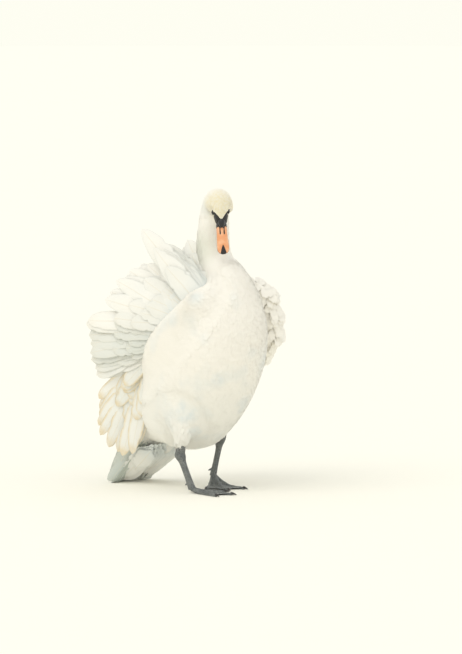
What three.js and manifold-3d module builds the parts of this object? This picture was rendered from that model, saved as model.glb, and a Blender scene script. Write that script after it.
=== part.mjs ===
// A life-size model of an adult male mute swan, standing upright with its tail tip on the floor, its head bowed
// to its right and the feathers of its right wing ruffled. Millimetres, +Z up. The bird faces -Y and its own left
// is +X. The body is one lofted form parted into trunk, neck and head, and every other piece is cut clear of it.
import * as THREE from "three";
import { mergeVertices } from "three/addons/utils/BufferGeometryUtils.js";
import Module from "manifold-3d";

const wasm = await Module();
wasm.setup();

// ---- Driving dimensions -------------------------------------------------------------------------------------

const GAP = 0.4; // clear space left between neighbouring pieces
const RING_SIDES = 18; // facets round the body
const LOOK_AZIMUTH = 40; // how far the upper neck and head turn to the bird's right, degrees
const HEAD_PITCH = 70; // how far the bill points below the horizon, degrees
const HEAD_TILT = -4; // sideways tilt of the head, degrees

// Trunk and lower neck, rump first: [y, z, half width, dorsal half depth, ventral half depth, turn in degrees].
const TRUNK = [
  [262, 132, 38, 14, 18, 0],
  [232, 164, 66, 44, 52, 0],
  [196, 198, 98, 78, 96, 0],
  [152, 236, 126, 110, 154, 0],
  [98, 280, 148, 138, 188, 0],
  [40, 334, 160, 156, 190, 0],
  [-14, 396, 162, 162, 180, 0],
  [-60, 456, 153, 152, 160, 0],
  [-92, 514, 131, 124, 134, 0],
  [-104, 566, 105, 98, 106, 0],
  [-98, 614, 81, 76, 84, 2],
  [-74, 656, 65, 63, 68, 8],
];
const NECK = [
  [-48, 692, 56, 56, 56, 16],
  [-38, 728, 53, 53, 50, 25],
  [-37, 766, 51, 51, 47, 33],
  [-40, 800, 48, 48, 43, 38],
];

// The arch of the upper neck turns about a point at the throat: [angle, half width, dorsal, ventral].
const THROAT = { across: 34, ahead: 77, height: 824, clearance: 5 };
const ARCH = [
  [176, 46, 46, 40],
  [146, 45, 46, 39],
  [116, 44, 46, 38],
  [88, 43.5, 45, 36],
  [62, 41, 42, 35],
  [40, 33.5, 39, 34],
];

// Head sections, measured from the midpoint of the eyes: [forward, half width, crown height, throat depth].
const HEAD = [
  [3, 25.5, 32, 34],
  [13, 23, 27, 32],
  [23, 20.5, 20.5, 28.5],
  [31, 18, 15, 25],
  [36, 12, 9, 19],
];
const EYE = { forward: 1, height: 5, apart: 44, radius: 6.5 };

// Upper half of the bill: [forward, half width, ridge height, edge height].
const BILL = [
  [27, 13, 4, -13],
  [36, 16, 8, -16.5],
  [48, 16, 4, -18],
  [62, 16, -1, -19.5],
  [80, 16.8, -7, -21.5],
  [98, 17.8, -12.5, -23.5],
  [110, 17.4, -16, -25],
  [118, 13.5, -19, -26],
  [123.5, 5, -22.5, -26.5],
];
const KNOB = { forward: 37, height: 9, length: 15, width: 9.5, depth: 11 };
const NAIL = { forward: 114, length: 11, width: 7, lift: 1.2 };
const LOWER_BILL = { start: 29, end: 116, inset: 2.2, depth: 8 };

// Legs: the joint where the toes meet, the hock above it and the knee end that the thigh hides.
const LEGS = {
  right: { side: -1, toes: [-89, -41, 13], hock: [-94, 8, 112], knee: [-98, -12, 186], turn: 20, settle: 0.42 },
  left: { side: 1, toes: [75, 47, 38], hock: [92, 32, 143], knee: [98, 22, 212], turn: -22, settle: 0.66 },
};
const SHANK = { across: 8.8, along: 12, joint: 1.45, foot: 1.12 };
// Toes from the inner one outwards: [angle from the foot's heading, length, root radius].
const TOES = { inner: [-33, 98, 7.2], middle: [0, 136, 8], outer: [27, 128, 7.2] };
const TOE_TIP = 4.2;
const WEB = { thickness: 2.6, reach: 0.9, scallop: 0.17 };
const CLAW = { length: 15, radius: 4.1 };
const HIND_TOE = { length: 27, radius: 4.6, height: 24 };

// Tail: a wedge of broad feathers whose ends rest on the floor.
const TAIL = {
  count: 7,
  root: [206, 168],
  rootWidth: 26,
  spread: 66,
  reach: 358,
  wedge: 18,
  swing: -22,
  width: 46,
  sag: -0.05,
  pressed: 14,
};

// ---- Directions ---------------------------------------------------------------------------------------------

const DEG = Math.PI / 180;
const vec = (x, y, z) => new THREE.Vector3(x, y, z);
const sum = (...terms) => terms.reduce((total, [v, k]) => total.addScaledVector(v, k), vec(0, 0, 0));
const LEFT = vec(1, 0, 0);
const UP = vec(0, 0, 1);
const ACROSS = vec(Math.cos(LOOK_AZIMUTH * DEG), -Math.sin(LOOK_AZIMUTH * DEG), 0); // the bowed head's own left
const AHEAD = vec(-Math.sin(LOOK_AZIMUTH * DEG), -Math.cos(LOOK_AZIMUTH * DEG), 0); // where the head faces
const AWAY = AHEAD.clone().negate();

// ---- Making solids ------------------------------------------------------------------------------------------

const solidOf = (geometry) => {
  const bare = geometry.clone();
  bare.deleteAttribute("normal");
  bare.deleteAttribute("uv");
  const merged = mergeVertices(bare, 1e-4);
  const made = new wasm.Manifold(
    new wasm.Mesh({
      numProp: 3,
      vertProperties: new Float32Array(merged.attributes.position.array),
      triVerts: new Uint32Array(merged.index.array),
    }),
  );
  return made;
};

const geometryOf = (solid) => {
  const mesh = solid.getMesh();
  const geometry = new THREE.BufferGeometry();
  geometry.setAttribute("position", new THREE.BufferAttribute(new Float32Array(mesh.vertProperties), 3));
  geometry.setIndex(new THREE.BufferAttribute(new Uint32Array(mesh.triVerts), 1));
  return geometry;
};

const middleOf = (ring) => sum(...ring.map((p) => [p, 1 / ring.length]));

// The same rings pushed outward all round and past both ends, for cutting a neighbour clear.
const grown = (rings, by) => {
  const middles = rings.map(middleOf);
  return rings.map((ring, i) => {
    const [before, after] = [middles[Math.max(i - 1, 0)], middles[Math.min(i + 1, rings.length - 1)]];
    const ends = (i === rings.length - 1) - (i === 0);
    const onward = after.clone().sub(before).normalize().multiplyScalar(ends * by);
    return ring.map((p) => {
      const outward = p.clone().sub(middles[i]);
      return sum([p, 1], [outward, by / Math.max(outward.length(), 1e-3)], [onward, 1]);
    });
  });
};

// The rings may run either way round, so the winding is taken from the sign of the enclosed volume.
const closed = (points, faces) => {
  const volume = faces.reduce((total, _, i) => {
    if (i % 3) return total;
    const [a, b, c] = [points[faces[i]], points[faces[i + 1]], points[faces[i + 2]]];
    return total + a.dot(b.clone().cross(c));
  }, 0);
  if (volume < 0) faces.reverse();
  const geometry = new THREE.BufferGeometry().setFromPoints(points);
  geometry.setIndex(faces);
  return solidOf(geometry);
};

// A closed solid through a row of rings that all have the same number of points.
const loft = (rings, grow = 0) => {
  if (grow > 0) return loft(grown(rings, 1.5 * grow));
  const sides = rings[0].length;
  const points = rings.flat();
  points.push(middleOf(rings[0]), middleOf(rings.at(-1)));
  const [first, last] = [points.length - 2, points.length - 1];
  const at = (ring, side) => ring * sides + (side % sides);
  const faces = [];
  for (let side = 0; side < sides; side++) {
    faces.push(first, at(0, side + 1), at(0, side));
    faces.push(last, at(rings.length - 1, side), at(rings.length - 1, side + 1));
    for (let ring = 0; ring + 1 < rings.length; ring++) {
      faces.push(at(ring, side), at(ring, side + 1), at(ring + 1, side + 1));
      faces.push(at(ring, side), at(ring + 1, side + 1), at(ring + 1, side));
    }
  }
  return closed(points, faces);
};

// A thin closed solid through rings that each go out along their upper face and back along their lower one. Both
// faces are split along the same diagonals, so that they stay parallel, and the ends are closed straight across.
const slab = (rings) => {
  const sides = rings[0].length;
  const at = (ring, side) => ring * sides + (side % sides);
  const faces = [];
  for (let side = 0; side < sides; side++) {
    for (let ring = 0; ring + 1 < rings.length; ring++) {
      const [a, b] = [at(ring, side), at(ring, side + 1)];
      const [d, c] = [at(ring + 1, side), at(ring + 1, side + 1)];
      faces.push(...(side < sides / 2 ? [a, b, c, a, c, d] : [a, b, d, b, c, d]));
    }
  }
  for (let side = 0; side + 1 < sides / 2; side++) {
    const [top, bottom] = [[side, side + 1], [sides - 1 - side, sides - 2 - side]];
    const last = rings.length - 1;
    faces.push(at(0, top[1]), at(0, top[0]), at(0, bottom[0]), at(0, top[1]), at(0, bottom[0]), at(0, bottom[1]));
    faces.push(at(last, top[0]), at(last, top[1]), at(last, bottom[0]));
    faces.push(at(last, top[1]), at(last, bottom[1]), at(last, bottom[0]));
  }
  return closed(rings.flat(), faces);
};

// A closed sheet of even thickness through a grid of points, thickened along the given direction.
const sheet = (grid, direction, thickness, floor = -Infinity) => {
  const offset = (row, by) =>
    row.map((p) => {
      const q = sum([p, 1], [direction, by]);
      return q.setZ(Math.max(q.z, floor + (by > 0 ? thickness : 0)));
    });
  return grid.map((row) => [...offset(row, thickness / 2), ...offset(row, -thickness / 2).reverse()]);
};

const unite = (solids) => solids.reduce((a, b) => a.add(b));
const largest = (solid) => solid.decompose().reduce((a, b) => (b.volume() > a.volume() ? b : a));
const cutBy = (solid, ...tools) => largest(tools.reduce((left, tool) => left.subtract(tool), solid));

// An elliptical ring in the plane of side and top, with its own depth above and below its centre.
const ovalRing = ({ centre, side, top, sizes }, sides = RING_SIDES) =>
  Array.from({ length: sides }, (_, i) => {
    const angle = (2 * Math.PI * i) / sides;
    const [width, above, below] = sizes;
    const height = Math.sin(angle) > 0 ? above : below;
    return sum([centre, 1], [side, width * Math.cos(angle)], [top, height * Math.sin(angle)]);
  });

// ---- The body's stations ------------------------------------------------------------------------------------

const bodyRow = ([y, z, width, above, below, turn]) => ({
  centre: vec(0, y, z),
  side: LEFT.clone().applyAxisAngle(UP, -turn * DEG),
  sizes: [width, above, below],
});

const archRow = ([angle, width, above, below], index) => {
  const outward = sum([AHEAD, Math.cos(angle * DEG)], [UP, Math.sin(angle * DEG)]);
  const share = (index + 1) / ARCH.length;
  const throat = sum(
    [ACROSS, THREE.MathUtils.lerp(THROAT.across - 10, THROAT.across + 9, share)],
    [AHEAD, THROAT.ahead],
    [UP, THROAT.height],
  );
  return {
    centre: throat.addScaledVector(outward, THROAT.clearance + below),
    side: ACROSS,
    top: outward,
    sizes: [width, above, below],
  };
};

// The head's own frame: forward along the bill, left, and dorsal, with its origin between the eyes.
const headFrame = (() => {
  const level = HEAD_PITCH * DEG;
  const dorsal = sum([AHEAD, Math.sin(level)], [UP, Math.cos(level)]);
  const forward = sum([AHEAD, Math.cos(level)], [UP, -Math.sin(level)]);
  const origin = sum(
    [ACROSS, THROAT.across + 9],
    [AHEAD, THROAT.ahead],
    [UP, THROAT.height],
    [dorsal, THROAT.clearance + HEAD[0][3]],
    [forward, -HEAD[0][0]],
  );
  const tilt = -HEAD_TILT * DEG;
  const left = ACROSS.clone().applyAxisAngle(dorsal, tilt);
  return { origin, forward: forward.applyAxisAngle(dorsal, tilt), left, dorsal };
})();

const inHead = (forward, left, height) =>
  sum([headFrame.origin, 1], [headFrame.forward, forward], [headFrame.left, left], [headFrame.dorsal, height]);

const headRow = ([forward, width, crown, throat]) => ({
  centre: inHead(forward, 0, (crown - throat) / 2),
  side: headFrame.left,
  top: headFrame.dorsal,
  sizes: [width, (crown + throat) / 2, (crown + throat) / 2],
});

const stations = [...TRUNK, ...NECK].map(bodyRow).concat(ARCH.map(archRow), HEAD.map(headRow));
const curveOf = (points) => new THREE.CatmullRomCurve3(points, false, "catmullrom", 0.5);
const centres = curveOf(stations.map((s) => s.centre));
const last = stations.length - 1;
stations.forEach((station, i) => {
  station.top ??= centres.getTangent(i / last).cross(station.side).normalize();
});
const sidesCurve = curveOf(stations.map((s) => s.side));
const topsCurve = curveOf(stations.map((s) => s.top));
const sizesCurve = curveOf(stations.map((s) => vec(...s.sizes)));

// The body's section at a station number, which may lie between two stations.
const bodySection = (station) => {
  const t = station / last;
  return {
    centre: centres.getPoint(t),
    side: sidesCurve.getPoint(t).normalize(),
    top: topsCurve.getPoint(t).normalize(),
    sizes: sizesCurve.getPoint(t).toArray(),
  };
};

const bodyPiece = (from, to, steps, grow = 0) =>
  loft(
    Array.from({ length: steps + 1 }, (_, i) =>
      ovalRing(bodySection(THREE.MathUtils.lerp(from, to, i / steps))),
    ),
    grow,
  );

// ---- Body, parted by thin cuts ------------------------------------------------------------------------------

const CUTS = { rump: 0, neckRoot: 10.4, neckMiddle: 14.2, nape: 19.3, billRoot: last };
const THIN = 0.012; // a cut's width in stations, a little over GAP
const trunkSolid = (grow = 0) => bodyPiece(CUTS.rump, CUTS.neckRoot, 17, grow);
const neckLowerSolid = (grow = 0) => bodyPiece(CUTS.neckRoot + THIN, CUTS.neckMiddle, 7, grow);
const neckUpper = bodyPiece(CUTS.neckMiddle + THIN, CUTS.nape, 8);
const headSolid = (grow = 0) => bodyPiece(CUTS.nape + 2 * THIN, CUTS.billRoot, 9, grow);
const bodyTool = unite([trunkSolid(GAP), neckLowerSolid(GAP)]);

// ---- Eyes and bill ------------------------------------------------------------------------------------------

const eyeSolid = (side, grow = 0) => {
  const place = inHead(EYE.forward, (side * EYE.apart) / 2, EYE.height);
  const ball = new THREE.SphereGeometry(EYE.radius + grow, 8, 6);
  return solidOf(ball.translate(place.x, place.y, place.z));
};

const BILL_SIDES = 8;
// A flat-bottomed arch across the bill.
const billRing = (forward, width, ridge, edge) =>
  Array.from({ length: BILL_SIDES }, (_, i) => {
    const angle = (2 * Math.PI * i) / BILL_SIDES;
    const height = Math.sin(angle) > 0 ? (ridge - edge) * Math.sin(angle) ** 0.8 : 0.5 * Math.sin(angle);
    const half = width * Math.sign(Math.cos(angle)) * Math.abs(Math.cos(angle)) ** 0.8;
    return inHead(forward, half, edge + height);
  });
const billCurve = curveOf(BILL.map(([, width, ridge, edge]) => vec(width, ridge, edge)));
const billAlong = curveOf(BILL.map(([forward]) => vec(forward, 0, 0)));
const billSection = (t) => [billAlong.getPoint(t).x, ...billCurve.getPoint(t).toArray()];
const BILL_STEPS = 8;
const upperBill = (grow = 0) =>
  loft(
    Array.from({ length: BILL_STEPS + 1 }, (_, i) => billRing(...billSection(i / BILL_STEPS))),
    grow,
  );

const lowerBill = (() => {
  const steps = 9;
  const rings = Array.from({ length: steps + 1 }, (_, i) => {
    const share = i / steps;
    const forward = THREE.MathUtils.lerp(LOWER_BILL.start, LOWER_BILL.end, share);
    const above = BILL.findIndex(([x]) => x > forward);
    const [low, high] = [BILL[above - 1], BILL[above]];
    const mix = (forward - low[0]) / (high[0] - low[0]);
    const width = THREE.MathUtils.lerp(low[1], high[1], mix) - LOWER_BILL.inset;
    const edge = THREE.MathUtils.lerp(low[3], high[3], mix) - 1;
    const depth = LOWER_BILL.depth * (1 - 0.55 * share);
    const narrow = Math.sqrt(Math.max(0.12, 1 - Math.max(0, (share - 0.82) / 0.18) ** 2));
    return Array.from({ length: BILL_SIDES }, (_, k) => {
      const angle = (2 * Math.PI * k) / BILL_SIDES;
      const height = Math.sin(angle) > 0 ? 0.2 * Math.sin(angle) : depth * Math.sin(angle);
      return inHead(forward, width * narrow * Math.cos(angle), edge - 0.5 + height);
    });
  });
  return loft(rings);
})();

const ballAt = (place, [along, across, high], detail = [10, 6]) => {
  const ball = new THREE.SphereGeometry(1, ...detail).scale(along, across, high);
  ball.applyMatrix4(new THREE.Matrix4().makeBasis(headFrame.forward, headFrame.left, headFrame.dorsal));
  return solidOf(ball.translate(place.x, place.y, place.z));
};
const knobSolid = (grow = 0) =>
  ballAt(inHead(KNOB.forward, 0, KNOB.height), [KNOB.length + grow, KNOB.width + grow, KNOB.depth + grow]);
const nailSolid = (grow = 0) =>
  ballAt(
    inHead(NAIL.forward, 0, -21.5 + NAIL.lift),
    [NAIL.length + grow, NAIL.width + grow, 6 + grow],
    [8, 6],
  );

const knob = knobSolid();
const billTop = cutBy(upperBill(), knobSolid(GAP), nailSolid(GAP));
const nail = cutBy(nailSolid(), lowerBill);
const head = cutBy(headSolid(), upperBill(GAP), knobSolid(GAP), eyeSolid(1, GAP), eyeSolid(-1, GAP));
const billBase = cutBy(lowerBill, headSolid(GAP), nailSolid(GAP), upperBill(GAP));

// ---- Feathers -----------------------------------------------------------------------------------------------

// A point of one long feather between its root and its tip, bowed by camber towards its face.
const spine = ({ root, tip, face, camber }, share) => {
  const along = tip.clone().sub(root);
  const side = along.clone().cross(face).normalize();
  const normal = side.clone().cross(along).normalize();
  const bow = camber * along.length() * (share - share * share) * 2;
  return { side, normal, middle: sum([root, 1], [along, share], [normal, bow]) };
};

// A row of feathers makes one fan: each feather is a ridge with a rounded tip, and neighbours part in a notch
// where they have spread further than their width. The fan is thickest over the roots, where coverts lie.
const FAN = {
  shares: [0, 0.55, 1],
  thickness: [9, 4.2, 1.8],
  corner: 0.95,
  edge: 0.84,
  margin: 0.7,
  notch: [0.42, 0.92],
};

const fanSlice = (at, end, grow, floor) => {
  const rows = FAN.shares.map((share, i) => {
    const { middle, normal } = at(share * end);
    const half = FAN.thickness[i] / 2 + grow;
    middle.z = Math.max(middle.z, floor + half * Math.abs(normal.z));
    return [1, -1].map((way) => {
      const p = sum([middle, 1], [normal, way * half]);
      return p.setZ(Math.max(p.z, floor));
    });
  });
  return [...rows.map(([top]) => top), ...rows.map(([, bottom]) => bottom).reverse()];
};

const fanSolid = (plans, grow = 0, floor = -Infinity) => {
  const rings = [];
  const add = (at, end, plan) => {
    const longer = grow / plan.tip.distanceTo(plan.root);
    rings.push(fanSlice(at, end + longer, grow, floor));
  };
  const blend = (a, b, mix) => (share) => {
    const [p, q] = [spine(a, share), spine(b, share)];
    return { middle: p.middle.lerp(q.middle, mix), normal: p.normal.lerp(q.normal, mix).normalize() };
  };
  const aside = (plan, way, reach) => (share) => {
    const { middle, side, normal } = spine(plan, share);
    return { middle: middle.addScaledVector(side, way * reach * (0.3 + 0.7 * Math.min(1, 2 * share))), normal };
  };
  const outwards = (plan, other) => Math.sign(spine(plan, 0.9).side.dot(plan.tip.clone().sub(other.tip)));
  const half = plans[0].width / 2;
  plans.forEach((plan, i) => {
    const [before, after] = [plans[i - 1], plans[i + 1]];
    if (!before) {
      add(aside(plan, outwards(plan, after), FAN.margin * half + grow), FAN.edge, plan);
      add(aside(plan, outwards(plan, after), 0.4 * half), FAN.corner, plan);
    }
    add(blend(plan, plan, 0), 1, plan);
    if (after) {
      const [rootGap, tipGap] = [plan.root.distanceTo(after.root), plan.tip.distanceTo(after.tip)];
      const parted = (1.1 * plan.width - rootGap) / Math.max(tipGap - rootGap, 1);
      const notch = tipGap > plan.width ? THREE.MathUtils.clamp(parted, ...FAN.notch) : FAN.notch[1];
      const corner = Math.min(0.3, (0.6 * half) / tipGap);
      add(blend(plan, after, corner), FAN.corner, plan);
      add(blend(plan, after, 0.5), notch, plan);
      add(blend(plan, after, 1 - corner), FAN.corner, after);
    } else {
      add(aside(plan, outwards(plan, before), 0.4 * half), FAN.corner, plan);
      add(aside(plan, outwards(plan, before), FAN.margin * half + grow), FAN.edge, plan);
    }
  });
  return slab(rings);
};

// The feathers of a row, each told as [root x, y, z, tip x, y, z]; the left wing's are mirrored and set outward.
const rowPlans = ({ feathers, width, camber, face, splay }, mirror) => {
  const offset = mirror < 0 ? splay : 0;
  return feathers.map(([rx, ry, rz, tx, ty, tz]) => ({
    root: vec(mirror * rx + offset, ry, rz),
    tip: vec(mirror * tx + offset, ty, tz),
    face: vec(mirror * face[0], face[1], face[2]),
    width,
    camber,
  }));
};

// ---- Wings --------------------------------------------------------------------------------------------------

// The folded arm of each wing: [x, y, z, half size outward, half size along the body].
const ARMS = {
  right: [
    [-92, -116, 612, 10, 12],
    [-112, -94, 584, 24, 32],
    [-128, -42, 532, 32, 44],
    [-138, 20, 482, 34, 50],
    [-140, 74, 428, 32, 48],
    [-130, 124, 372, 24, 40],
    [-112, 164, 328, 12, 18],
  ],
  left: [
    [88, -100, 622, 12, 14],
    [134, -98, 594, 28, 34],
    [166, -88, 546, 36, 46],
    [188, -66, 476, 40, 56],
    [190, 0, 416, 38, 56],
    [164, 84, 358, 30, 46],
    [120, 160, 302, 12, 18],
  ],
};
const ROWS = {
  scapulars: {
    feathers: [
      [-62, -60, 616, -26, 40, 748],
      [-84, -76, 606, -42, 66, 686],
      [-104, -88, 590, -76, 108, 734],
      [-110, -84, 576, -140, 126, 776],
    ],
    width: 72,
    camber: 0.1,
    face: [-0.8, -0.6, 0.1],
    splay: 0,
  },
  tertials: {
    feathers: [
      [-114, -72, 564, -109, 125, 672],
      [-120, -60, 552, -138, 165, 662],
      [-124, -46, 538, -162, 186, 640],
      [-128, -32, 524, -187, 209, 580],
      [-130, -18, 512, -198, 220, 558],
    ],
    width: 54,
    camber: 0.08,
    face: [-0.9, -0.4, 0.2],
    splay: 16,
  },
  secondaries: {
    feathers: [
      [-131, -6, 506, -223, 280, 508],
      [-134, 8, 490, -222, 284, 486],
      [-138, 36, 462, -218, 276, 408],
      [-138, 52, 446, -202, 276, 372],
      [-138, 68, 430, -180, 268, 338],
    ],
    width: 52,
    camber: 0.06,
    face: [-0.9, -0.3, 0.35],
    splay: 34,
  },
  primaries: {
    feathers: [
      [-138, 88, 408, -162, 296, 262],
      [-136, 102, 392, -158, 308, 204],
      [-132, 114, 378, -146, 304, 150],
      [-127, 122, 366, -128, 284, 108],
      [-124, 118, 356, -116, 236, 100],
      [-124, 106, 352, -110, 184, 136],
    ],
    width: 48,
    camber: 0.04,
    face: [-0.95, -0.3, 0],
    splay: 34,
  },
};
const MIRROR = { right: 1, left: -1 };

const armSolid = (arm, grow = 0) => {
  const centre = curveOf(arm.map(([x, y, z]) => vec(x, y, z)));
  const sizes = curveOf(arm.map(([, , , outward, along]) => vec(outward, along, 0)));
  const steps = 9;
  const rings = Array.from({ length: steps + 1 }, (_, i) => {
    const t = i / steps;
    const [outward, along] = sizes.getPoint(t).toArray();
    const tangent = centre.getTangent(t);
    const side = sum([centre.getPoint(t), 1], [bodySection(6).centre, -1]);
    side.addScaledVector(tangent, -side.dot(tangent)).normalize();
    const top = tangent.clone().cross(side);
    return ovalRing({ centre: centre.getPoint(t), side, top, sizes: [outward, along, along] }, 12);
  });
  return loft(rings, grow);
};

// ---- Legs and feet ------------------------------------------------------------------------------------------

const onFloor = (ring) => ring.map((p) => vec(p.x, p.y, Math.max(0, p.z)));
const tube = (points, radii, sides = 6) => {
  const path = curveOf(points);
  return points.map((point, i) => {
    const along = path.getTangent(i / (points.length - 1));
    const side = along.clone().cross(Math.abs(along.z) > 0.9 ? LEFT : UP).normalize();
    const top = side.clone().cross(along);
    const [across, high] = Array.isArray(radii[i]) ? radii[i] : [radii[i], radii[i]];
    return ovalRing({ centre: point, side, top, sizes: [across, high, high] }, sides);
  });
};

const headingOf = (angle) => vec(Math.sin(angle * DEG), -Math.cos(angle * DEG), 0);

// A toe drops from the foot's joint to the floor and then runs along it.
const TOE_STEPS = 3;
const toePoint = (leg, [angle, length, radius], share) => {
  const low = THREE.MathUtils.lerp(radius, TOE_TIP, share) * 0.86;
  const drop = Math.max(0, 1 - share / leg.settle) ** 2;
  const joint = vec(...leg.toes);
  const heading = headingOf(leg.turn + leg.side * angle);
  const point = joint.addScaledVector(heading, share * length);
  point.z = low + (leg.toes[2] - low) * drop;
  return point;
};
const toeSolid = (leg, toe) => {
  const steps = Array.from({ length: TOE_STEPS + 1 }, (_, i) => i / TOE_STEPS);
  const points = steps.map((share) => toePoint(leg, toe, share));
  const radii = steps.map((share) => THREE.MathUtils.lerp(toe[2], TOE_TIP, share));
  return loft(tube(points, radii).map(onFloor));
};

const webSolid = (leg, toeA, toeB) => {
  const [rows, columns] = [3, 2];
  const grid = Array.from({ length: rows }, (_, i) =>
    Array.from({ length: columns + 1 }, (_, j) => {
      const across = j / columns;
      const reach = ((i + 1) / rows) * (WEB.reach - WEB.scallop * Math.sin(Math.PI * across));
      return toePoint(leg, toeA, reach).lerp(toePoint(leg, toeB, reach), across);
    }),
  );
  return slab(sheet(grid, UP, WEB.thickness, 0));
};

const clawSolid = (leg, toe, grow = 0) => {
  const [tip, before] = [toePoint(leg, toe, 1), toePoint(leg, toe, 0.95)];
  const along = tip.clone().sub(before).setZ(0).normalize();
  const steps = [-0.3, 0.1, 0.6, 1];
  const points = steps.map((share) =>
    vec(
      tip.x + along.x * share * CLAW.length,
      tip.y + along.y * share * CLAW.length,
      CLAW.radius + 1.4 - 3.4 * Math.max(0, share) ** 2,
    ),
  );
  const radii = steps.map((share) => CLAW.radius * Math.sqrt(Math.max(0.02, 1 - Math.max(0, share))));
  const rings = tube(points, radii).map(onFloor);
  return loft(rings, grow);
};

const hindToe = (leg) => {
  const hock = vec(...leg.hock);
  const joint = vec(...leg.toes);
  const start = joint.clone().lerp(hock, (HIND_TOE.height - 6) / 110);
  const heading = headingOf(leg.turn + 180 + leg.side * 28).setZ(-0.35).normalize();
  const steps = [0, 0.4, 0.75, 1];
  return loft(
    tube(
      steps.map((share) => start.clone().addScaledVector(heading, share * HIND_TOE.length)),
      steps.map((share) => HIND_TOE.radius * (1 - 0.62 * share ** 2)),
    ).map(onFloor),
  );
};

const shankSolid = (leg, grow = 0) => {
  const [joint, hock, knee] = [leg.toes, leg.hock, leg.knee].map((p) => vec(...p));
  const shares = [0, 0.2, 0.6, 0.85, 1];
  const thick = (share) => {
    const foot = (SHANK.foot - 1) * Math.max(0, 1 - share / 0.2) + 1;
    return foot + (SHANK.joint - 1) * Math.exp(-(((share - 1) / 0.13) ** 2));
  };
  const points = shares.map((share) => joint.clone().lerp(hock, share));
  const sizes = shares.map((share) => [SHANK.across * thick(share), SHANK.along * thick(share)]);
  for (const share of [0.3, 1]) {
    points.push(hock.clone().lerp(knee, share));
    sizes.push([SHANK.across * 1.15 + 3 * share, SHANK.along * 1.05 + 4 * share]);
  }
  const top = vec(0, -1, 0.32).normalize();
  const rings = points.map((centre, i) =>
    ovalRing({ centre, side: LEFT, top, sizes: [sizes[i][0], sizes[i][1], sizes[i][1]] }, 8),
  );
  return loft(rings, grow);
};

// The feathered thigh: a soft lobe from inside the belly down to just above the hock.
const thighSolid = (leg, grow = 0) => {
  const [hock, knee] = [vec(...leg.hock), vec(...leg.knee)];
  const hip = knee.clone().add(vec(leg.side * 6, 26, 66));
  const path = curveOf([hock.clone().lerp(knee, 0.36), hock.clone().lerp(knee, 0.66), knee, hip]);
  const sizes = curveOf([18, 32, 48, 70].map((size) => vec(size, 0, 0)));
  const steps = 6;
  const rings = Array.from({ length: steps + 1 }, (_, i) => {
    const t = i / steps;
    const size = sizes.getPoint(t).x;
    const top = vec(0, -1, 0.25).normalize();
    return ovalRing({ centre: path.getPoint(t), side: LEFT, top, sizes: [size * 0.86, size, size] }, 14);
  });
  return loft(rings, grow);
};

// ---- Tail ---------------------------------------------------------------------------------------------------

// Half of the fan; the last part of every feather lies along the floor.
const tailPlans = Array.from({ length: TAIL.count }, (_, i) => {
  const place = (2 * i) / (TAIL.count - 1) - 1; // -1 at the right edge to 1 at the left edge
  const root = vec(place * TAIL.rootWidth, TAIL.root[0], TAIL.root[1]);
  const tip = vec(TAIL.swing + place * TAIL.spread, TAIL.reach - TAIL.wedge * place * place, -TAIL.pressed);
  return { root, tip, width: TAIL.width, camber: TAIL.sag, face: vec(0.25 * place, 0.7, 0.7) };
});
// ---- Assembly -----------------------------------------------------------------------------------------------

const material = (color, roughness) => new THREE.MeshStandardMaterial({ color, roughness, metalness: 0 });
const PLUMAGE = material(0xf4f1e8, 0.85);
const FLIGHT = material(0xf7f5ee, 0.8);
const ORANGE = material(0xe8823c, 0.45);
const BLACK = material(0x1b1b1c, 0.5);
const LEG_SKIN = material(0x3c3f40, 0.6);
const EYE_DARK = material(0x120d0a, 0.1);

const swan = new THREE.Group();
const add = (name, solid, finish) => {
  const mesh = new THREE.Mesh(geometryOf(solid), finish);
  mesh.name = name;
  swan.add(mesh);
};

add("trunk", trunkSolid(), PLUMAGE);
add("neck_lower", neckLowerSolid(), PLUMAGE);
add("neck_upper", neckUpper, PLUMAGE);
add("head", head, PLUMAGE);
add("eye_left", eyeSolid(1), EYE_DARK);
add("eye_right", eyeSolid(-1), EYE_DARK);
add("bill_upper", billTop, ORANGE);
add("bill_lower", billBase, BLACK);
add("bill_knob", cutBy(knob), BLACK);
add("bill_nail", nail, BLACK);

const thighTools = [];
for (const [name, leg] of Object.entries(LEGS)) {
  const thigh = cutBy(thighSolid(leg), bodyTool);
  thighTools.push(thighSolid(leg, GAP));
  add(`thigh_${name}`, cutBy(thigh, shankSolid(leg, GAP)), PLUMAGE);
  const webs = [webSolid(leg, TOES.inner, TOES.middle), webSolid(leg, TOES.middle, TOES.outer)];
  const toes = Object.values(TOES).map((toe) => toeSolid(leg, toe));
  const foot = unite([...toes, ...webs, hindToe(leg)]);
  const claws = Object.entries(TOES).map(([toe, shape]) => [toe, clawSolid(leg, shape)]);
  const bareFoot = cutBy(foot, ...Object.values(TOES).map((toe) => clawSolid(leg, toe, GAP)));
  add(`foot_${name}`, bareFoot, LEG_SKIN);
  add(`leg_${name}`, cutBy(shankSolid(leg), bodyTool, foot.translate(0, 0, GAP), foot), LEG_SKIN);
  claws.forEach(([toe, claw]) => add(`claw_${toe}_${name}`, claw, BLACK));
}

add("tail", cutBy(fanSolid(tailPlans, 0, 0), bodyTool, ...thighTools), FLIGHT);

for (const [name, mirror] of Object.entries(MIRROR)) {
  add(`wing_${name}`, cutBy(armSolid(ARMS[name]), bodyTool), PLUMAGE);
  const taken = [bodyTool, armSolid(ARMS[name], GAP)];
  for (const [row, shape] of Object.entries(ROWS)) {
    const plans = rowPlans(shape, mirror);
    add(`${row}_${name}`, cutBy(fanSolid(plans), ...taken), FLIGHT);
    taken.push(fanSolid(plans, 3 * GAP));
  }
}

// The part's origin is the middle of its footprint, on the floor.
const box = new THREE.Box3().setFromObject(swan);
const middle = box.getCenter(vec(0, 0, 0));
swan.position.set(-middle.x, -middle.y, -box.min.z);

export default swan;
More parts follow.
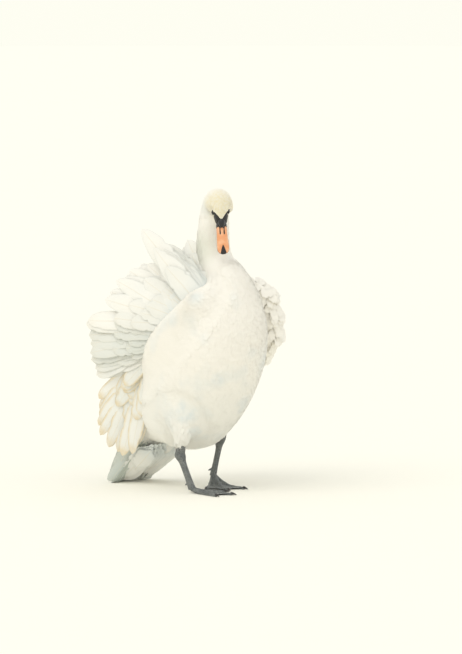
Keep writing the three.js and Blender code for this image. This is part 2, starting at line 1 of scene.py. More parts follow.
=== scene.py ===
"""The looks of a life-size mute swan: one skin under mesh feathers, quills, bill, eyes, legs and claws.

Lengths in the tables are millimetres in the bird's own frame: it faces -Y, its own left is +X and the
floor is z = 0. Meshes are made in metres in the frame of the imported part.
"""

import logging
import math
from dataclasses import dataclass, field
from enum import Enum

import bpy
import numpy as np
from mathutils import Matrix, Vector
from mathutils.kdtree import KDTree


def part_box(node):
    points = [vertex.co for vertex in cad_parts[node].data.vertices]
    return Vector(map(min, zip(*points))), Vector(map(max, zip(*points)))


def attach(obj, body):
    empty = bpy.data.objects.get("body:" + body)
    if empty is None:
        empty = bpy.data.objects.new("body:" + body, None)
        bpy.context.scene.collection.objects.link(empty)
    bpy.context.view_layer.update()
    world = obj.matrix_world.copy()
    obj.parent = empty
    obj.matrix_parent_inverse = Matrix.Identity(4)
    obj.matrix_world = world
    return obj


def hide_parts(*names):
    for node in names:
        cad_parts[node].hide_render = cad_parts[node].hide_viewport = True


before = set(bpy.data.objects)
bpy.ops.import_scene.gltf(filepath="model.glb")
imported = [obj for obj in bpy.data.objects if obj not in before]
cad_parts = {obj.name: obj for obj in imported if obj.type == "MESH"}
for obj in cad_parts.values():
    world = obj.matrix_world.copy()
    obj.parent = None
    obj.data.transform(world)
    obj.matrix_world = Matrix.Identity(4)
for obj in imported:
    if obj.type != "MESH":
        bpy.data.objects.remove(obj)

LOG = logging.getLogger("mute_swan")
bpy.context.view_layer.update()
MM = 0.001
SIDES = {"right": -1.0, "left": 1.0}
BODY_NAME = "root"
Array = np.ndarray
Material, Mesh = bpy.types.Material, bpy.types.Mesh
Thing, Socket = bpy.types.Object, bpy.types.NodeSocket


# ---- Vectors and curves ----


def vec(*numbers: float) -> Array:
    """The numbers as a vector."""
    return np.array(numbers, float)


def unit(vectors: Array) -> Array:
    """Vectors of length one, along the last axis."""
    return vectors / np.maximum(np.linalg.norm(vectors, axis=-1, keepdims=True), 1e-9)


def smooth(low: float, high: float, value: Array) -> Array:
    """An eased step from 0 at low to 1 at high."""
    share = np.clip((np.asarray(value, float) - low) / (high - low), 0, 1)
    return share * share * (3 - 2 * share)


def hump(value: Array, centre: float, width: float) -> Array:
    """A bell of height one about centre."""
    return np.exp(-(((value - centre) / width) ** 2))


def full_turn(count: int) -> Array:
    """Angles spread evenly over one turn, in radians."""
    return np.linspace(0, 2 * np.pi, count, endpoint=False)


def turned(vector: Array, axis: Array, degrees: float) -> Array:
    """A vector turned about a unit axis by a number of degrees."""
    angle = math.radians(degrees)
    across = np.cross(axis, vector)
    along = axis * np.dot(axis, vector)
    return vector * math.cos(angle) + across * math.sin(angle) + along * (1 - math.cos(angle))


def through(points: Array, shares: Array) -> Array:
    """Points of the smooth curve through a row of points.

    Args:
        points: the row, one point to a line, each with any number of values.
        shares: where on the curve, 0 at the first point and 1 at the last.

    Returns:
        One line of values for each share.
    """
    row = np.asarray(points, float)
    ends = np.vstack([2 * row[:1] - row[1:2], row, 2 * row[-1:] - row[-2:-1]])
    place = np.clip(np.asarray(shares, float), 0, 1) * (len(row) - 1)
    index = np.minimum(place.astype(int), len(row) - 2)
    mix = (place - index)[..., None]
    before, start, end, after = (ends[index + k] for k in range(4))
    leaving, arriving = (end - before) / 2, (after - start) / 2
    cubic = 2 * start - 2 * end + leaving + arriving
    square = -3 * start + 3 * end - 2 * leaving - arriving
    return ((cubic * mix + square) * mix + leaving) * mix + start


def tangents(points: Array, shares: Array) -> Array:
    """Directions of the smooth curve through points, at shares along it."""
    step = 1e-3
    shares = np.asarray(shares, float)
    return unit(through(points, np.minimum(shares + step, 1)) - through(points, np.maximum(shares - step, 0)))


# ---- The body's stations ----

UP = vec(0.0, 0.0, 1.0)
LEFT = vec(1.0, 0.0, 0.0)
LOOK_AZIMUTH = 40.0  # how far the neck and head turn to the bird's right, degrees
HEAD_PITCH = 70.0
HEAD_TILT = -4.0
ACROSS = turned(LEFT, UP, -LOOK_AZIMUTH)
AHEAD = turned(-vec(0.0, 1.0, 0.0), UP, -LOOK_AZIMUTH)

# [y, z, half width, dorsal half depth, ventral half depth, turn], from the rump to the top of the neck
TRUNK = [
    [262, 132, 38, 14, 18, 0],
    [232, 164, 66, 44, 52, 0],
    [196, 198, 98, 78, 96, 0],
    [152, 236, 126, 110, 154, 0],
    [98, 280, 148, 138, 188, 0],
    [40, 334, 160, 156, 190, 0],
    [-14, 396, 162, 162, 180, 0],
    [-60, 456, 153, 152, 160, 0],
    [-92, 514, 131, 124, 134, 0],
    [-104, 566, 105, 98, 106, 0],
    [-98, 614, 81, 76, 84, 2],
    [-74, 656, 65, 63, 68, 8],
    [-48, 692, 56, 56, 56, 16],
    [-38, 728, 53, 53, 50, 25],
    [-37, 766, 51, 51, 47, 33],
    [-40, 800, 48, 48, 43, 38],
]
THROAT_ACROSS, THROAT_AHEAD, THROAT_HEIGHT, THROAT_CLEARANCE = 34, 77, 824, 5
# [angle about the throat, half width, dorsal half depth, ventral half depth]
ARCH = [
    [176, 46, 46, 40],
    [146, 45, 46, 39],
    [116, 44, 46, 38],
    [88, 43.5, 45, 36],
    [62, 41, 42, 35],
    [40, 33.5, 39, 34],
]
# [forward of the eyes, half width, crown height, throat depth]
HEAD = [[3, 25.5, 32, 34], [13, 23, 27, 32], [23, 20.5, 20.5, 28.5], [31, 18, 15, 25], [36, 12, 9, 19]]
# how deep the coat is at shares of the way from rump to bill
COAT_DEPTH = [6, 6, 6, 5.5, 5, 4.5, 4, 3.5, 2.8, 1.8, 1.0]


@dataclass(frozen=True)
class HeadFrame:
    """The bowed head's own axes, with its origin between the eyes."""

    origin: Array
    forward: Array
    left: Array
    dorsal: Array

    def point(self, forward: Array, left: Array, height: Array) -> Array:
        """A place told by how far forward, left and up it is in the head."""
        terms = ((forward, self.forward), (left, self.left), (height, self.dorsal))
        return self.origin + sum(np.asarray(size, float)[..., None] * axis for size, axis in terms)

    def measures(self, points: Array) -> tuple[Array, Array, Array]:
        """How far forward, left and up in the head each point is."""
        offset = points - self.origin
        return offset @ self.forward, offset @ self.left, offset @ self.dorsal


def head_frame() -> HeadFrame:
    """Works out the head's frame from its pitch, tilt and the throat that it hangs over."""
    pitch = math.radians(HEAD_PITCH)
    dorsal = AHEAD * math.sin(pitch) + UP * math.cos(pitch)
    forward = AHEAD * math.cos(pitch) - UP * math.sin(pitch)
    throat = ACROSS * (THROAT_ACROSS + 9) + AHEAD * THROAT_AHEAD + UP * THROAT_HEIGHT
    origin = throat + dorsal * (THROAT_CLEARANCE + HEAD[0][3]) - forward * HEAD[0][0]
    return HeadFrame(origin, turned(forward, dorsal, -HEAD_TILT), turned(ACROSS, dorsal, -HEAD_TILT), dorsal)


HEAD_AXES = head_frame()
EYE_FORWARD, EYE_HEIGHT, EYE_APART, EYE_RADIUS = 1.0, 5.0, 44.0, 6.5


def frame_shift() -> Array:
    """Where the bird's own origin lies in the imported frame, in metres, read off the middle of its eyes."""
    corners = [np.array(corner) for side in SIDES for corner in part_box(f"eye_{side}")]
    return sum(corners) / len(corners) - HEAD_AXES.point(EYE_FORWARD, 0, EYE_HEIGHT) * MM


SHIFT = frame_shift()


def placed(points: Array) -> Array:
    """Millimetres in the bird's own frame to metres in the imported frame."""
    return np.asarray(points) * MM + SHIFT


def body_stations() -> tuple[Array, Array, Array, Array]:
    """Centre, side, top and sizes of every station from the rump to the root of the bill."""
    found = [([0.0, y, z], turned(LEFT, UP, -turn), None, size) for y, z, *size, turn in TRUNK]
    for index, (angle, *size) in enumerate(ARCH):
        outward = AHEAD * math.cos(math.radians(angle)) + UP * math.sin(math.radians(angle))
        across = THROAT_ACROSS - 10 + 19 * (index + 1) / len(ARCH)
        throat = ACROSS * across + AHEAD * THROAT_AHEAD + UP * THROAT_HEIGHT
        found.append((throat + outward * (THROAT_CLEARANCE + size[-1]), ACROSS, outward, size))
    for forward, width, crown, throat in HEAD:
        centre = HEAD_AXES.point(forward, 0, (crown - throat) / 2)
        depth = (crown + throat) / 2
        found.append((centre, HEAD_AXES.left, HEAD_AXES.dorsal, [width, depth, depth]))
    centres, sides, tops, sizes = zip(*found)
    shares = np.linspace(0, 1, len(centres))
    upright = unit(np.cross(tangents(np.array(centres), shares), np.array(sides)))
    tops = [upright[i] if own is None else own for i, own in enumerate(tops)]
    return np.array(centres), np.array(sides), np.array(tops), np.array(sizes, float)


CENTRES, SIDE_AXES, TOP_AXES, SIZES = body_stations()
LAST = len(CENTRES) - 1
NECK_ROOT, NAPE, CROWN = 10.4, 17.0, 21.0  # station numbers


def body_rings(stations: Array, sides: int, depth_share: float = 1.0) -> Array:
    """Rings of the body at station numbers, drawn in by the depth of the coat.

    Args:
        stations: station numbers, which may lie between two stations.
        sides: points to a ring.
        depth_share: how much of the coat's depth the rings are drawn in by.

    Returns:
        An array of rings, sides and coordinates.
    """
    shares = np.asarray(stations, float) / LAST
    centre = through(CENTRES, shares)[:, None]
    side = unit(through(SIDE_AXES, shares))[:, None]
    top = unit(through(TOP_AXES, shares))[:, None]
    size = through(SIZES, shares)
    depth = through(np.array(COAT_DEPTH)[:, None], shares) * depth_share
    size = size * size / (size + depth)
    angle = full_turn(sides)[None, :, None]
    across = size[:, :1, None] * np.cos(angle)
    high = np.where(np.sin(angle) > 0, size[:, 1:2, None], size[:, 2:3, None]) * np.sin(angle)
    return centre + side * across + top * high


# ---- Meshes ----


@dataclass
class Shape:
    """Points in millimetres with the faces on them and the values that each point carries."""

    points: Array
    faces: list[Array]
    marks: dict[str, Array] = field(default_factory=dict)
    maps: dict[str, Array] = field(default_factory=dict)

    def facing_out(self) -> "Shape":
        """The same closed shape, with its faces turned outwards."""
        volume = 0.0
        for faces in self.faces:
            corners = self.points[faces]
            for k in range(1, faces.shape[1] - 1):
                volume += np.einsum("ij,ij->", corners[:, 0], np.cross(corners[:, k], corners[:, k + 1]))
        if volume < 0:
            self.faces = [faces[:, ::-1] for faces in self.faces]
        return self

    def carrying(self, name: str, values: Array, *ends: float) -> "Shape":
        """The same shape with a mark, given for the points of its rings and then for the ends of its caps."""
        self.marks[name] = np.concatenate([values.reshape(-1), ends])
        return self


def joined(shapes: list[Shape]) -> Shape:
    """Several shapes as one."""
    starts = np.cumsum([0] + [len(shape.points) for shape in shapes])
    faces = [part + start for shape, start in zip(shapes, starts) for part in shape.faces]
    marks = {name: np.concatenate([shape.marks[name] for shape in shapes]) for name in shapes[0].marks}
    maps = {name: np.concatenate([shape.maps[name] for shape in shapes]) for name in shapes[0].maps}
    return Shape(np.concatenate([shape.points for shape in shapes]), faces, marks, maps)


def ring_faces(rows: int, sides: int) -> list[Array]:
    """Faces of a closed tube; its end caps meet at two points that are stored after the rings.

    Args:
        rows: how many rings the tube has.
        sides: points to a ring.

    Returns:
        The tube's quads, then the triangles of its first and its last cap.
    """
    row, side = np.meshgrid(np.arange(rows - 1), np.arange(sides), indexing="ij")
    after = (side + 1) % sides
    here, onward = row * sides, (row + 1) * sides
    quads = np.stack([here + side, here + after, onward + after, onward + side], -1)
    edge, next_edge = np.arange(sides), (np.arange(sides) + 1) % sides
    first = np.stack([np.full(sides, rows * sides), next_edge, edge], -1)
    last_row = (rows - 1) * sides
    last = np.stack([np.full(sides, rows * sides + 1), last_row + edge, last_row + next_edge], -1)
    return [quads.reshape(-1, 4), first, last]


def on_floor(rings: Array) -> Array:
    """The same rings with nothing below the floor."""
    return np.maximum(rings, [-np.inf, -np.inf, 0.0])


def lofted(rings: Array) -> Shape:
    """A closed shape through rings, an array of rings, sides and coordinates."""
    rows, sides, _ = rings.shape
    caps = np.stack([rings[0].mean(0), rings[-1].mean(0)])
    return Shape(np.concatenate([rings.reshape(-1, 3), caps]), ring_faces(rows, sides)).facing_out()


def ovals(centres: Array, side: Array, top: Array, sizes: Array, sides: int) -> Array:
    """Rings of ovals about centres, each with its half width and its half height."""
    angle = full_turn(sides)[None, :, None]
    across = np.asarray(side)[..., None, :] * sizes[:, :1, None] * np.cos(angle)
    return centres[:, None] + across + np.asarray(top)[..., None, :] * sizes[:, 1:2, None] * np.sin(angle)


def mesh_of(name: str, shape: Shape, shift: bool = True) -> Mesh:
    """Makes a Blender mesh of a shape.

    Args:
        name: the mesh's name.
        shape: points in millimetres, or unit lengths where they aren't shifted.
        shift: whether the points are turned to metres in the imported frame.

    Returns:
        The mesh, with each mark as a point attribute and each map as a UV map.
    """
    mesh = bpy.data.meshes.new(name)
    points = placed(shape.points) if shift else shape.points
    loops = np.concatenate([faces.reshape(-1) for faces in shape.faces]).astype(np.int32)
    sizes = np.concatenate([np.full(len(faces), faces.shape[1]) for faces in shape.faces])
    mesh.vertices.add(len(points))
    mesh.vertices.foreach_set("co", points.astype(np.float32).reshape(-1))
    mesh.loops.add(len(loops))
    mesh.loops.foreach_set("vertex_index", loops)
    mesh.polygons.add(len(sizes))
    mesh.polygons.foreach_set("loop_start", np.concatenate([[0], np.cumsum(sizes)[:-1]]).astype(np.int32))
    mesh.polygons.foreach_set("use_smooth", np.ones(len(sizes), bool))
    for key, values in shape.marks.items():
        mark(mesh, key, values)
    for key, values in shape.maps.items():
        layer = mesh.uv_layers.new(name=key)
        layer.uv.foreach_set("vector", values[loops].astype(np.float32).reshape(-1))
    mesh.update(calc_edges=True)
    mesh.set_sharp_from_angle(angle=math.radians(50))
    return mesh


def mark(mesh: Mesh, name: str, values: Array) -> None:
    """Stores one number or one vector for each point of a mesh."""
    vector = values.ndim == 2
    layer = mesh.attributes.new(name, "FLOAT_VECTOR" if vector else "FLOAT", "POINT")
    layer.data.foreach_set("vector" if vector else "value", values.astype(np.float32).reshape(-1))


def shown(name: str, mesh: Mesh, material: Material | None = None) -> Thing:
    """Puts a mesh in the scene as an object of the same name."""
    thing = bpy.data.objects.new(name, mesh)
    bpy.context.scene.collection.objects.link(thing)
    if material:
        mesh.materials.clear()
        mesh.materials.append(material)
    return thing


def settled(thing: Thing) -> Mesh:
    """The mesh that an object's modifiers give, as a plain mesh."""
    evaluated = thing.evaluated_get(bpy.context.evaluated_depsgraph_get())
    return bpy.data.meshes.new_from_object(evaluated)


def discard(thing: Thing) -> None:
    """Takes an object out of the file."""
    bpy.data.objects.remove(thing, do_unlink=True)


def coordinates(mesh: Mesh) -> Array:
    """A mesh's points in millimetres in the bird's own frame."""
    values = np.empty(len(mesh.vertices) * 3, np.float32)
    mesh.vertices.foreach_get("co", values)
    return (values.reshape(-1, 3) - SHIFT) / MM


def evened(mesh: Mesh, values: Array, share: Array, rounds: int = 130) -> Array:
    """Draws values on a mesh's points towards those of their neighbours.

    Args:
        mesh: the mesh whose edges say which points are neighbours.
        values: a row of numbers for each point.
        share: how strongly each point is drawn, nought where it keeps its own.
        rounds: how many times that is done.

    Returns:
        The evened values.
    """
    edges = np.empty(len(mesh.edges) * 2, np.int32)
    mesh.edges.foreach_get("vertices", edges)
    edges = edges.reshape(-1, 2)
    edges = edges[(share[edges] > 0).any(1)]
    first, second = np.concatenate([edges, edges[:, ::-1]]).T
    count = np.maximum(np.bincount(first, minlength=len(values)), 1)[:, None]
    for _ in range(rounds):
        sums = [np.bincount(first, values[second, axis], len(values)) for axis in range(3)]
        middle = np.stack(sums, -1) / count
        values = np.where(share[:, None] > 0, values + (middle - values) * share[:, None], values)
    return values


def remeshed(name: str, shapes: list[Shape], voxel: float, smoothing: int) -> Shape:
    """Melts overlapping closed shapes into one.

    Args:
        name: a name for the work.
        shapes: closed shapes that overlap.
        voxel: the new mesh's grain, in millimetres.
        smoothing: how many times the result is relaxed.

    Returns:
        The one closed shape.
    """
    thing = shown(name, mesh_of(name, joined(shapes)))
    remesh = thing.modifiers.new("melt", "REMESH")
    remesh.mode = "VOXEL"
    remesh.voxel_size = voxel * MM
    relax = thing.modifiers.new("relax", "SMOOTH")
    relax.factor = 0.5
    relax.iterations = smoothing
    mesh = settled(thing)
    discard(thing)
    loops = np.empty(len(mesh.loops), np.int32)
    mesh.loops.foreach_get("vertex_index", loops)
    return Shape(coordinates(mesh), [loops.reshape(-1, 4)])


# ---- Node trees ----


class Value:
    """A node's output that can be written in sums."""

    def __init__(self, graph: "Graph", socket: Socket) -> None:
        """Wraps one output of a graph's node."""
        self.graph = graph
        self.socket = socket

    def _sum(self, operation: str, first: "Value | float", second: "Value | float" = 0.0) -> "Value":
        """Adds one Math node."""
        return self.graph.value("ShaderNodeMath", 0, {"operation": operation}, {0: first, 1: second})

    def __add__(self, other: "Value | float") -> "Value":
        """The sum."""
        return self._sum("ADD", self, other)

    def __sub__(self, other: "Value | float") -> "Value":
        """The difference."""
        return self._sum("SUBTRACT", self, other)

    def __rsub__(self, other: float) -> "Value":
        """A number less this value."""
        return self._sum("SUBTRACT", other, self)

    def __mul__(self, other: "Value | float") -> "Value":
        """The product."""
        return self._sum("MULTIPLY", self, other)

    __radd__ = __add__
    __rmul__ = __mul__

    def power(self, exponent: float) -> "Value":
        """This value raised to a power."""
        return self._sum("POWER", self, exponent)

    def wave(self) -> "Value":
        """The sine of this value."""
        return self._sum("SINE", self)

    def off(self, centre: float) -> "Value":
        """How far this value is from a number."""
        return self._sum("ABSOLUTE", self - centre)

    def most(self, other: "Value | float") -> "Value":
        """The larger of two values."""
        return self._sum("MAXIMUM", self, other)

    def eased(self, low: float, high: float) -> "Value":
        """An eased step from 0 at low to 1 at high."""
        settings = {"interpolation_type": "SMOOTHSTEP"}
        return self.graph.value("ShaderNodeMapRange", 0, settings, {0: self, 1: low, 2: high})


class Graph:
    """A node tree that is built one node at a time."""

    def __init__(self, tree: bpy.types.NodeTree) -> None:
        """Wraps an empty tree."""
        self.tree = tree

    def node(self, kind: str, settings: dict | None = None, inputs: dict | None = None) -> bpy.types.Node:
        """Adds one node.

        Args:
            kind: the node's type.
            settings: properties of the node, set first.
            inputs: a number, colour, link or Value for each named or numbered socket.

        Returns:
            The new node.
        """
        node = self.tree.nodes.new(kind)
        for name, value in (settings or {}).items():
            setattr(node, name, value)
        for key, value in (inputs or {}).items():
            socket = node.inputs[key]
            source = value.socket if isinstance(value, Value) else value
            if isinstance(source, Socket):
                self.tree.links.new(source, socket)
            else:
                socket.default_value = source
        return node

    def value(
        self, kind: str, output: str | int, settings: dict | None = None, inputs: dict | None = None
    ) -> Value:
        """Adds one node and gives one of its outputs."""
        return Value(self, self.node(kind, settings, inputs).outputs[output])


Colour = tuple[float, float, float]


class Finish:
    """A material in the making: a Principled shader and the patterns that feed it."""

    def __init__(self, name: str) -> None:
        """Starts an empty material."""
        self.material = bpy.data.materials.new(name)
        self.material.use_nodes = True
        self.material.node_tree.nodes.clear()
        self.graph = Graph(self.material.node_tree)
        self.place = self.graph.value("ShaderNodeTexCoord", "Object")

    def carried(self, name: str) -> Value:
        """A number that the mesh's points carry."""
        settings = {"attribute_name": name, "attribute_type": "GEOMETRY"}
        return self.graph.value("ShaderNodeAttribute", "Fac", settings)

    def along(self, map_name: str) -> tuple[Value, Value]:
        """The two coordinates of a UV map."""
        source = self.graph.value("ShaderNodeUVMap", "UV", {"uv_map": map_name})
        split = self.graph.node("ShaderNodeSeparateXYZ", inputs={0: source})
        return Value(self.graph, split.outputs[0]), Value(self.graph, split.outputs[1])

    def height(self) -> Value:
        """The height above the floor, in metres."""
        return self.graph.value("ShaderNodeSeparateXYZ", 2, None, {0: self.place})

    def noise(self, size: float, detail: float = 2.0) -> Value:
        """Noise with features of a size in metres."""
        inputs = {"Vector": self.place, "Scale": 1 / size, "Detail": detail}
        return self.graph.value("ShaderNodeTexNoise", 0, None, inputs)

    def cells(self, size: float) -> Value:
        """Distance to the edge of cells of a size in metres."""
        inputs = {"Vector": self.place, "Scale": 1 / size}
        return self.graph.value("ShaderNodeTexVoronoi", 0, {"feature": "DISTANCE_TO_EDGE"}, inputs)

    def distance(self, centre: Array) -> Value:
        """Distance in metres from a place told in the bird's own frame."""
        inputs = {0: self.place, 1: tuple(placed(centre))}
        return self.graph.value("ShaderNodeVectorMath", "Value", {"operation": "DISTANCE"}, inputs)

    def mixed(self, share: Value | float, first: Value | Colour, second: Value | Colour) -> Value:
        """One colour turning to another."""
        colours = [(*colour, 1.0) if isinstance(colour, tuple) else colour for colour in (first, second)]
        settings = {"data_type": "RGBA", "clamp_factor": True}
        return self.graph.value("ShaderNodeMix", 2, settings, {0: share, 6: colours[0], 7: colours[1]})

    def relief(self, height: Value, depth: float, strength: float = 1.0) -> Value:
        """A bump of a depth in metres."""
        inputs = {"Height": height, "Distance": depth, "Strength": strength}
        return self.graph.value("ShaderNodeBump", "Normal", None, inputs)

    def done(
        self, colour: Value, roughness: Value | float, normal: Value | None = None, **constants: float
    ) -> Material:
        """Joins the shader up.

        Args:
            colour: base colour.
            roughness: roughness.
            normal: the bump's normal.
            constants: other sockets of the shader, with underscores for spaces.

        Returns:
            The finished material.
        """
        inputs = {"Base Color": colour, "Roughness": roughness}
        if normal:
            inputs["Normal"] = normal
        inputs.update({name.replace("_", " "): size for name, size in constants.items()})
        shader = self.graph.node("ShaderNodeBsdfPrincipled", None, inputs)
        self.graph.node("ShaderNodeOutputMaterial", None, {"Surface": shader.outputs[0]})
        return self.material


@dataclass(frozen=True)
class Plumage:
    """White plumage: warm on the crown, with painted blue-grey shade in its hollows and painted grey-green shade
    on the neck, black at the face and grey on the legs.
    """

    white: Colour = (0.95, 0.918, 0.835)
    painted_shade: Colour = (0.69, 0.765, 0.78)
    vane: Colour = (0.86, 0.855, 0.81)
    shade_slate: Colour = (0.46, 0.52, 0.47)
    buff: Colour = (0.86, 0.78, 0.52)
    ochre: Colour = (0.80, 0.62, 0.32)
    sage: Colour = (0.80, 0.81, 0.69)
    crown_reach: float = 0.085
    shade_patch_size: float = 0.09
    # (x, y, z, reach, strength) of each spot of painted blue-grey shade; lengths in millimetres
    shade_hollows: tuple[tuple[float, ...], ...] = (
        (-115, -44, 244, 62, 0.9),
        (-75, -31, 181, 48, 0.7),
        (-83, -151, 345, 40, 0.5),
        (-132, -108, 590, 38, 0.6),
        (-163, -30, 525, 40, 0.5),
        (40, -150, 250, 70, 0.6),
        (80, -165, 400, 90, 0.4),
    )

    def colour(self, finish: Finish) -> Value:
        """The colour that skin and coat share.

        Args:
            finish: the material that the pattern is made in.

        Returns:
            White, with painted blue-grey shade in patches, low down and in hollows, painted grey-green shade on
            the neck's right side, and a buff crown.
        """
        # Painted blue-grey shade: soft random patches, more low down, and stronger in the listed hollows.
        patches = finish.noise(self.shade_patch_size, 2.0).eased(0.52, 0.74)
        low = 1 - finish.height().eased(0.20, 0.42)
        painted_shade = patches * 0.22 + low * 0.16
        for *centre, reach, strength in self.shade_hollows:
            near = 1 - finish.distance(np.array(centre)).eased(0.1 * reach * MM, reach * MM)
            painted_shade = painted_shade.most(near * strength * (0.4 + 0.6 * finish.noise(0.04, 3.0).eased(0.3, 0.7)))
        tone = finish.mixed(painted_shade, self.white, self.painted_shade)
        # Painted grey-green shade on the right side of the neck.
        neck = 1 - finish.distance(vec(-62.0, -40.0, 730.0)).eased(0.012, 0.085)
        tone = finish.mixed(neck * 0.7, tone, self.sage)
        crown = HEAD_AXES.point(-16, 0, 26)
        near_crown = 1 - finish.distance(crown).eased(0.022, self.crown_reach)
        streaks = finish.noise(0.006, 3.0).eased(0.35, 0.7)
        return finish.mixed(near_crown * (0.4 + 0.5 * streaks), tone, self.buff)

    def skin(self) -> Material:
        """The finish of the one skin, with its bare face and legs."""
        finish = Finish("swan_skin")
        bare_face = finish.carried("bare_face").eased(0.35, 0.65)
        bare_leg = finish.carried("bare_leg").eased(0.35, 0.65)
        leather = finish.cells(0.0034)
        plates = finish.cells(0.0075)
        scales = finish.noise(0.02, 3.0)
        leg = finish.mixed(scales.eased(0.3, 0.75), (0.17, 0.185, 0.18), (0.30, 0.31, 0.29))
        leg = finish.mixed(1 - leather.eased(0.0, 0.14), leg, (0.045, 0.048, 0.05))
        face = finish.mixed(finish.noise(0.004, 3.0), (0.008, 0.008, 0.009), (0.03, 0.029, 0.03))
        colour = finish.mixed(bare_leg, finish.mixed(bare_face, self.colour(finish), face), leg)
        roughness = 0.85 - 0.38 * bare_face - 0.33 * bare_leg
        height = bare_leg * (leather.eased(0.0, 0.25) * 0.7 + plates.eased(0.0, 0.2) * 0.3)
        height = height + finish.noise(0.0016, 2.0) * bare_face * 0.5
        return finish.done(colour, roughness, finish.relief(height, 0.0007), Specular_IOR_Level=0.4)

    def down(self, name: str) -> Material:
        """The finish of the small body feathers."""
        finish = Finish(name)
        across, along = finish.along("Vane")
        barbs = ((along * 46.0 - across.off(0.5) * 60.0) * 3.0).wave()
        colour = self.colour(finish)
        # Painted shade: a little grey-blue towards each feather's root.
        shade = finish.mixed(0.06 * (1 - along.eased(0.0, 0.5)), colour, (0.70, 0.74, 0.75))
        settings = {"Sheen_Weight": 0.25, "Sheen_Roughness": 0.5, "Specular_IOR_Level": 0.25}
        return finish.done(shade, 0.8 + 0.1 * along, finish.relief(barbs, 0.0002, 0.35), **settings)

    def quills(self) -> Material:
        """The finish of the long feathers: pale shaft, fine barbs, ochre on edges that carry warmth and painted
        shade.
        """
        finish = Finish("swan_quills")
        across, along = finish.along("Vane")
        off_shaft = across.off(0.5) * 2.0
        barbs = ((along * 95.0 - off_shaft * 26.0) * 3.6).wave()
        shaft = 1 - off_shaft.eased(0.02, 0.07)
        edge = off_shaft.eased(0.55, 0.95).most(along.eased(0.84, 0.985))
        wash = finish.noise(0.02, 3.0).eased(0.3, 0.7)
        colour = finish.mixed(0.35 + 0.3 * off_shaft, self.colour(finish), self.vane)
        # Painted blue-grey shade towards the root, where feathers overlap.
        colour = finish.mixed(0.55 * (1 - along.eased(0.0, 0.62)), colour, self.painted_shade)
        # Painted grey shade, as much as the feather carries.
        colour = finish.mixed(finish.carried("shade") * 0.8, colour, self.shade_slate)
        colour = finish.mixed(finish.carried("warmth") * edge * (0.45 + 0.4 * wash), colour, self.ochre)
        # Painted grey shade along the vane's outer edges.
        colour = finish.mixed(off_shaft.eased(0.84, 1.0) * 0.22, colour, self.shade_slate)
        colour = finish.mixed(shaft * 0.4, colour, (0.80, 0.74, 0.60))
        height = barbs * 0.2 + shaft
        settings = {"Sheen_Weight": 0.15, "Sheen_Roughness": 0.4, "Specular_IOR_Level": 0.3}
        return finish.done(colour, 0.62 + 0.15 * off_shaft, finish.relief(height, 0.0006, 0.5), **settings)


@dataclass(frozen=True)
class BillHorn:
    """The bill's orange, salmon at its edges, and its black parts, with a fine grain under a low gloss."""

    orange: Colour = (0.84, 0.36, 0.16)
    pale: Colour = (0.91, 0.50, 0.28)
    black: Colour = (0.012, 0.011, 0.012)

    def material(self) -> Material:
        """Builds the finish; points carry how black they are."""
        finish = Finish("swan_bill")
        dark = finish.carried("dark")
        grain = finish.noise(0.0022, 4.0)
        cloud = finish.noise(0.018, 3.0)
        orange = finish.mixed(cloud.eased(0.35, 0.7), self.orange, self.pale)
        colour = finish.mixed(dark.eased(0.4, 0.6), orange, self.black)
        normal = finish.relief(grain + 0.3 * finish.noise(0.0006, 2.0), 0.0003, 0.6)
        return finish.done(colour, 0.34 + 0.16 * grain, normal, Specular_IOR_Level=0.5, Coat_Weight=0.12)


@dataclass(frozen=True)
class Horn:
    """Dark horn of the claws, streaked along and paler at the tip."""

    root: Colour = (0.018, 0.017, 0.016)
    tip: Colour = (0.07, 0.062, 0.052)

    def material(self) -> Material:
        """Builds the finish; points carry how near the tip they are."""
        finish = Finish("swan_claws")
        streaks = finish.noise(0.0011, 3.0)
        colour = finish.mixed(finish.carried("tip") * (0.5 + 0.5 * streaks), self.root, self.tip)
        return finish.done(colour, 0.32 + 0.2 * streaks, finish.relief(streaks, 0.0002), Coat_Weight=0.2)


@dataclass(frozen=True)
class EyeGlaze:
    """A wet, very dark brown eye with a black pupil."""

    iris: Colour = (0.030, 0.014, 0.008)
    rim: Colour = (0.006, 0.004, 0.004)
    pupil: Colour = (0.001, 0.001, 0.001)

    def material(self) -> Material:
        """Builds the finish; points carry how far off the line of sight they are."""
        finish = Finish("swan_eyes")
        off_axis = finish.carried("off_axis")
        fibres = finish.noise(0.0007, 3.0)
        iris = finish.mixed(off_axis.eased(0.5, 0.95), finish.mixed(fibres, self.iris, self.rim), self.rim)
        colour = finish.mixed(1 - off_axis.eased(0.36, 0.42), iris, self.pupil)
        return finish.done(colour, 0.06 + 0.05 * fibres, None, Coat_Weight=1.0, Coat_Roughness=0.02)


@dataclass(frozen=True)
class Paper:
    """The pale floor."""

    tone: Colour = (0.945, 0.925, 0.83)

    def material(self) -> Material:
        """Builds the finish."""
        finish = Finish("studio_floor")
        cloud = finish.noise(0.9, 2.0)
        lighter = tuple(min(1.0, share * 1.005) for share in self.tone)
        return finish.done(finish.mixed(cloud, self.tone, lighter), 1.0, None, Specular_IOR_Level=0.0)


# ---- The skin ----

# Arm of each wing, shoulder first: [x, y, z, half depth outward, half depth along the body]
ARMS = {
    "right": [
        [-62, -122, 620, 16, 18],
        [-112, -94, 584, 24, 32],
        [-128, -42, 532, 32, 44],
        [-138, 20, 482, 34, 50],
        [-140, 74, 428, 32, 48],
        [-130, 124, 372, 24, 40],
        [-112, 164, 328, 12, 18],
    ],
    "left": [
        [88, -100, 622, 12, 14],
        [134, -98, 594, 28, 34],
        [166, -88, 546, 36, 46],
        [188, -66, 476, 40, 56],
        [190, 0, 416, 38, 56],
        [164, 84, 358, 30, 46],
        [120, 160, 302, 12, 18],
    ],
}
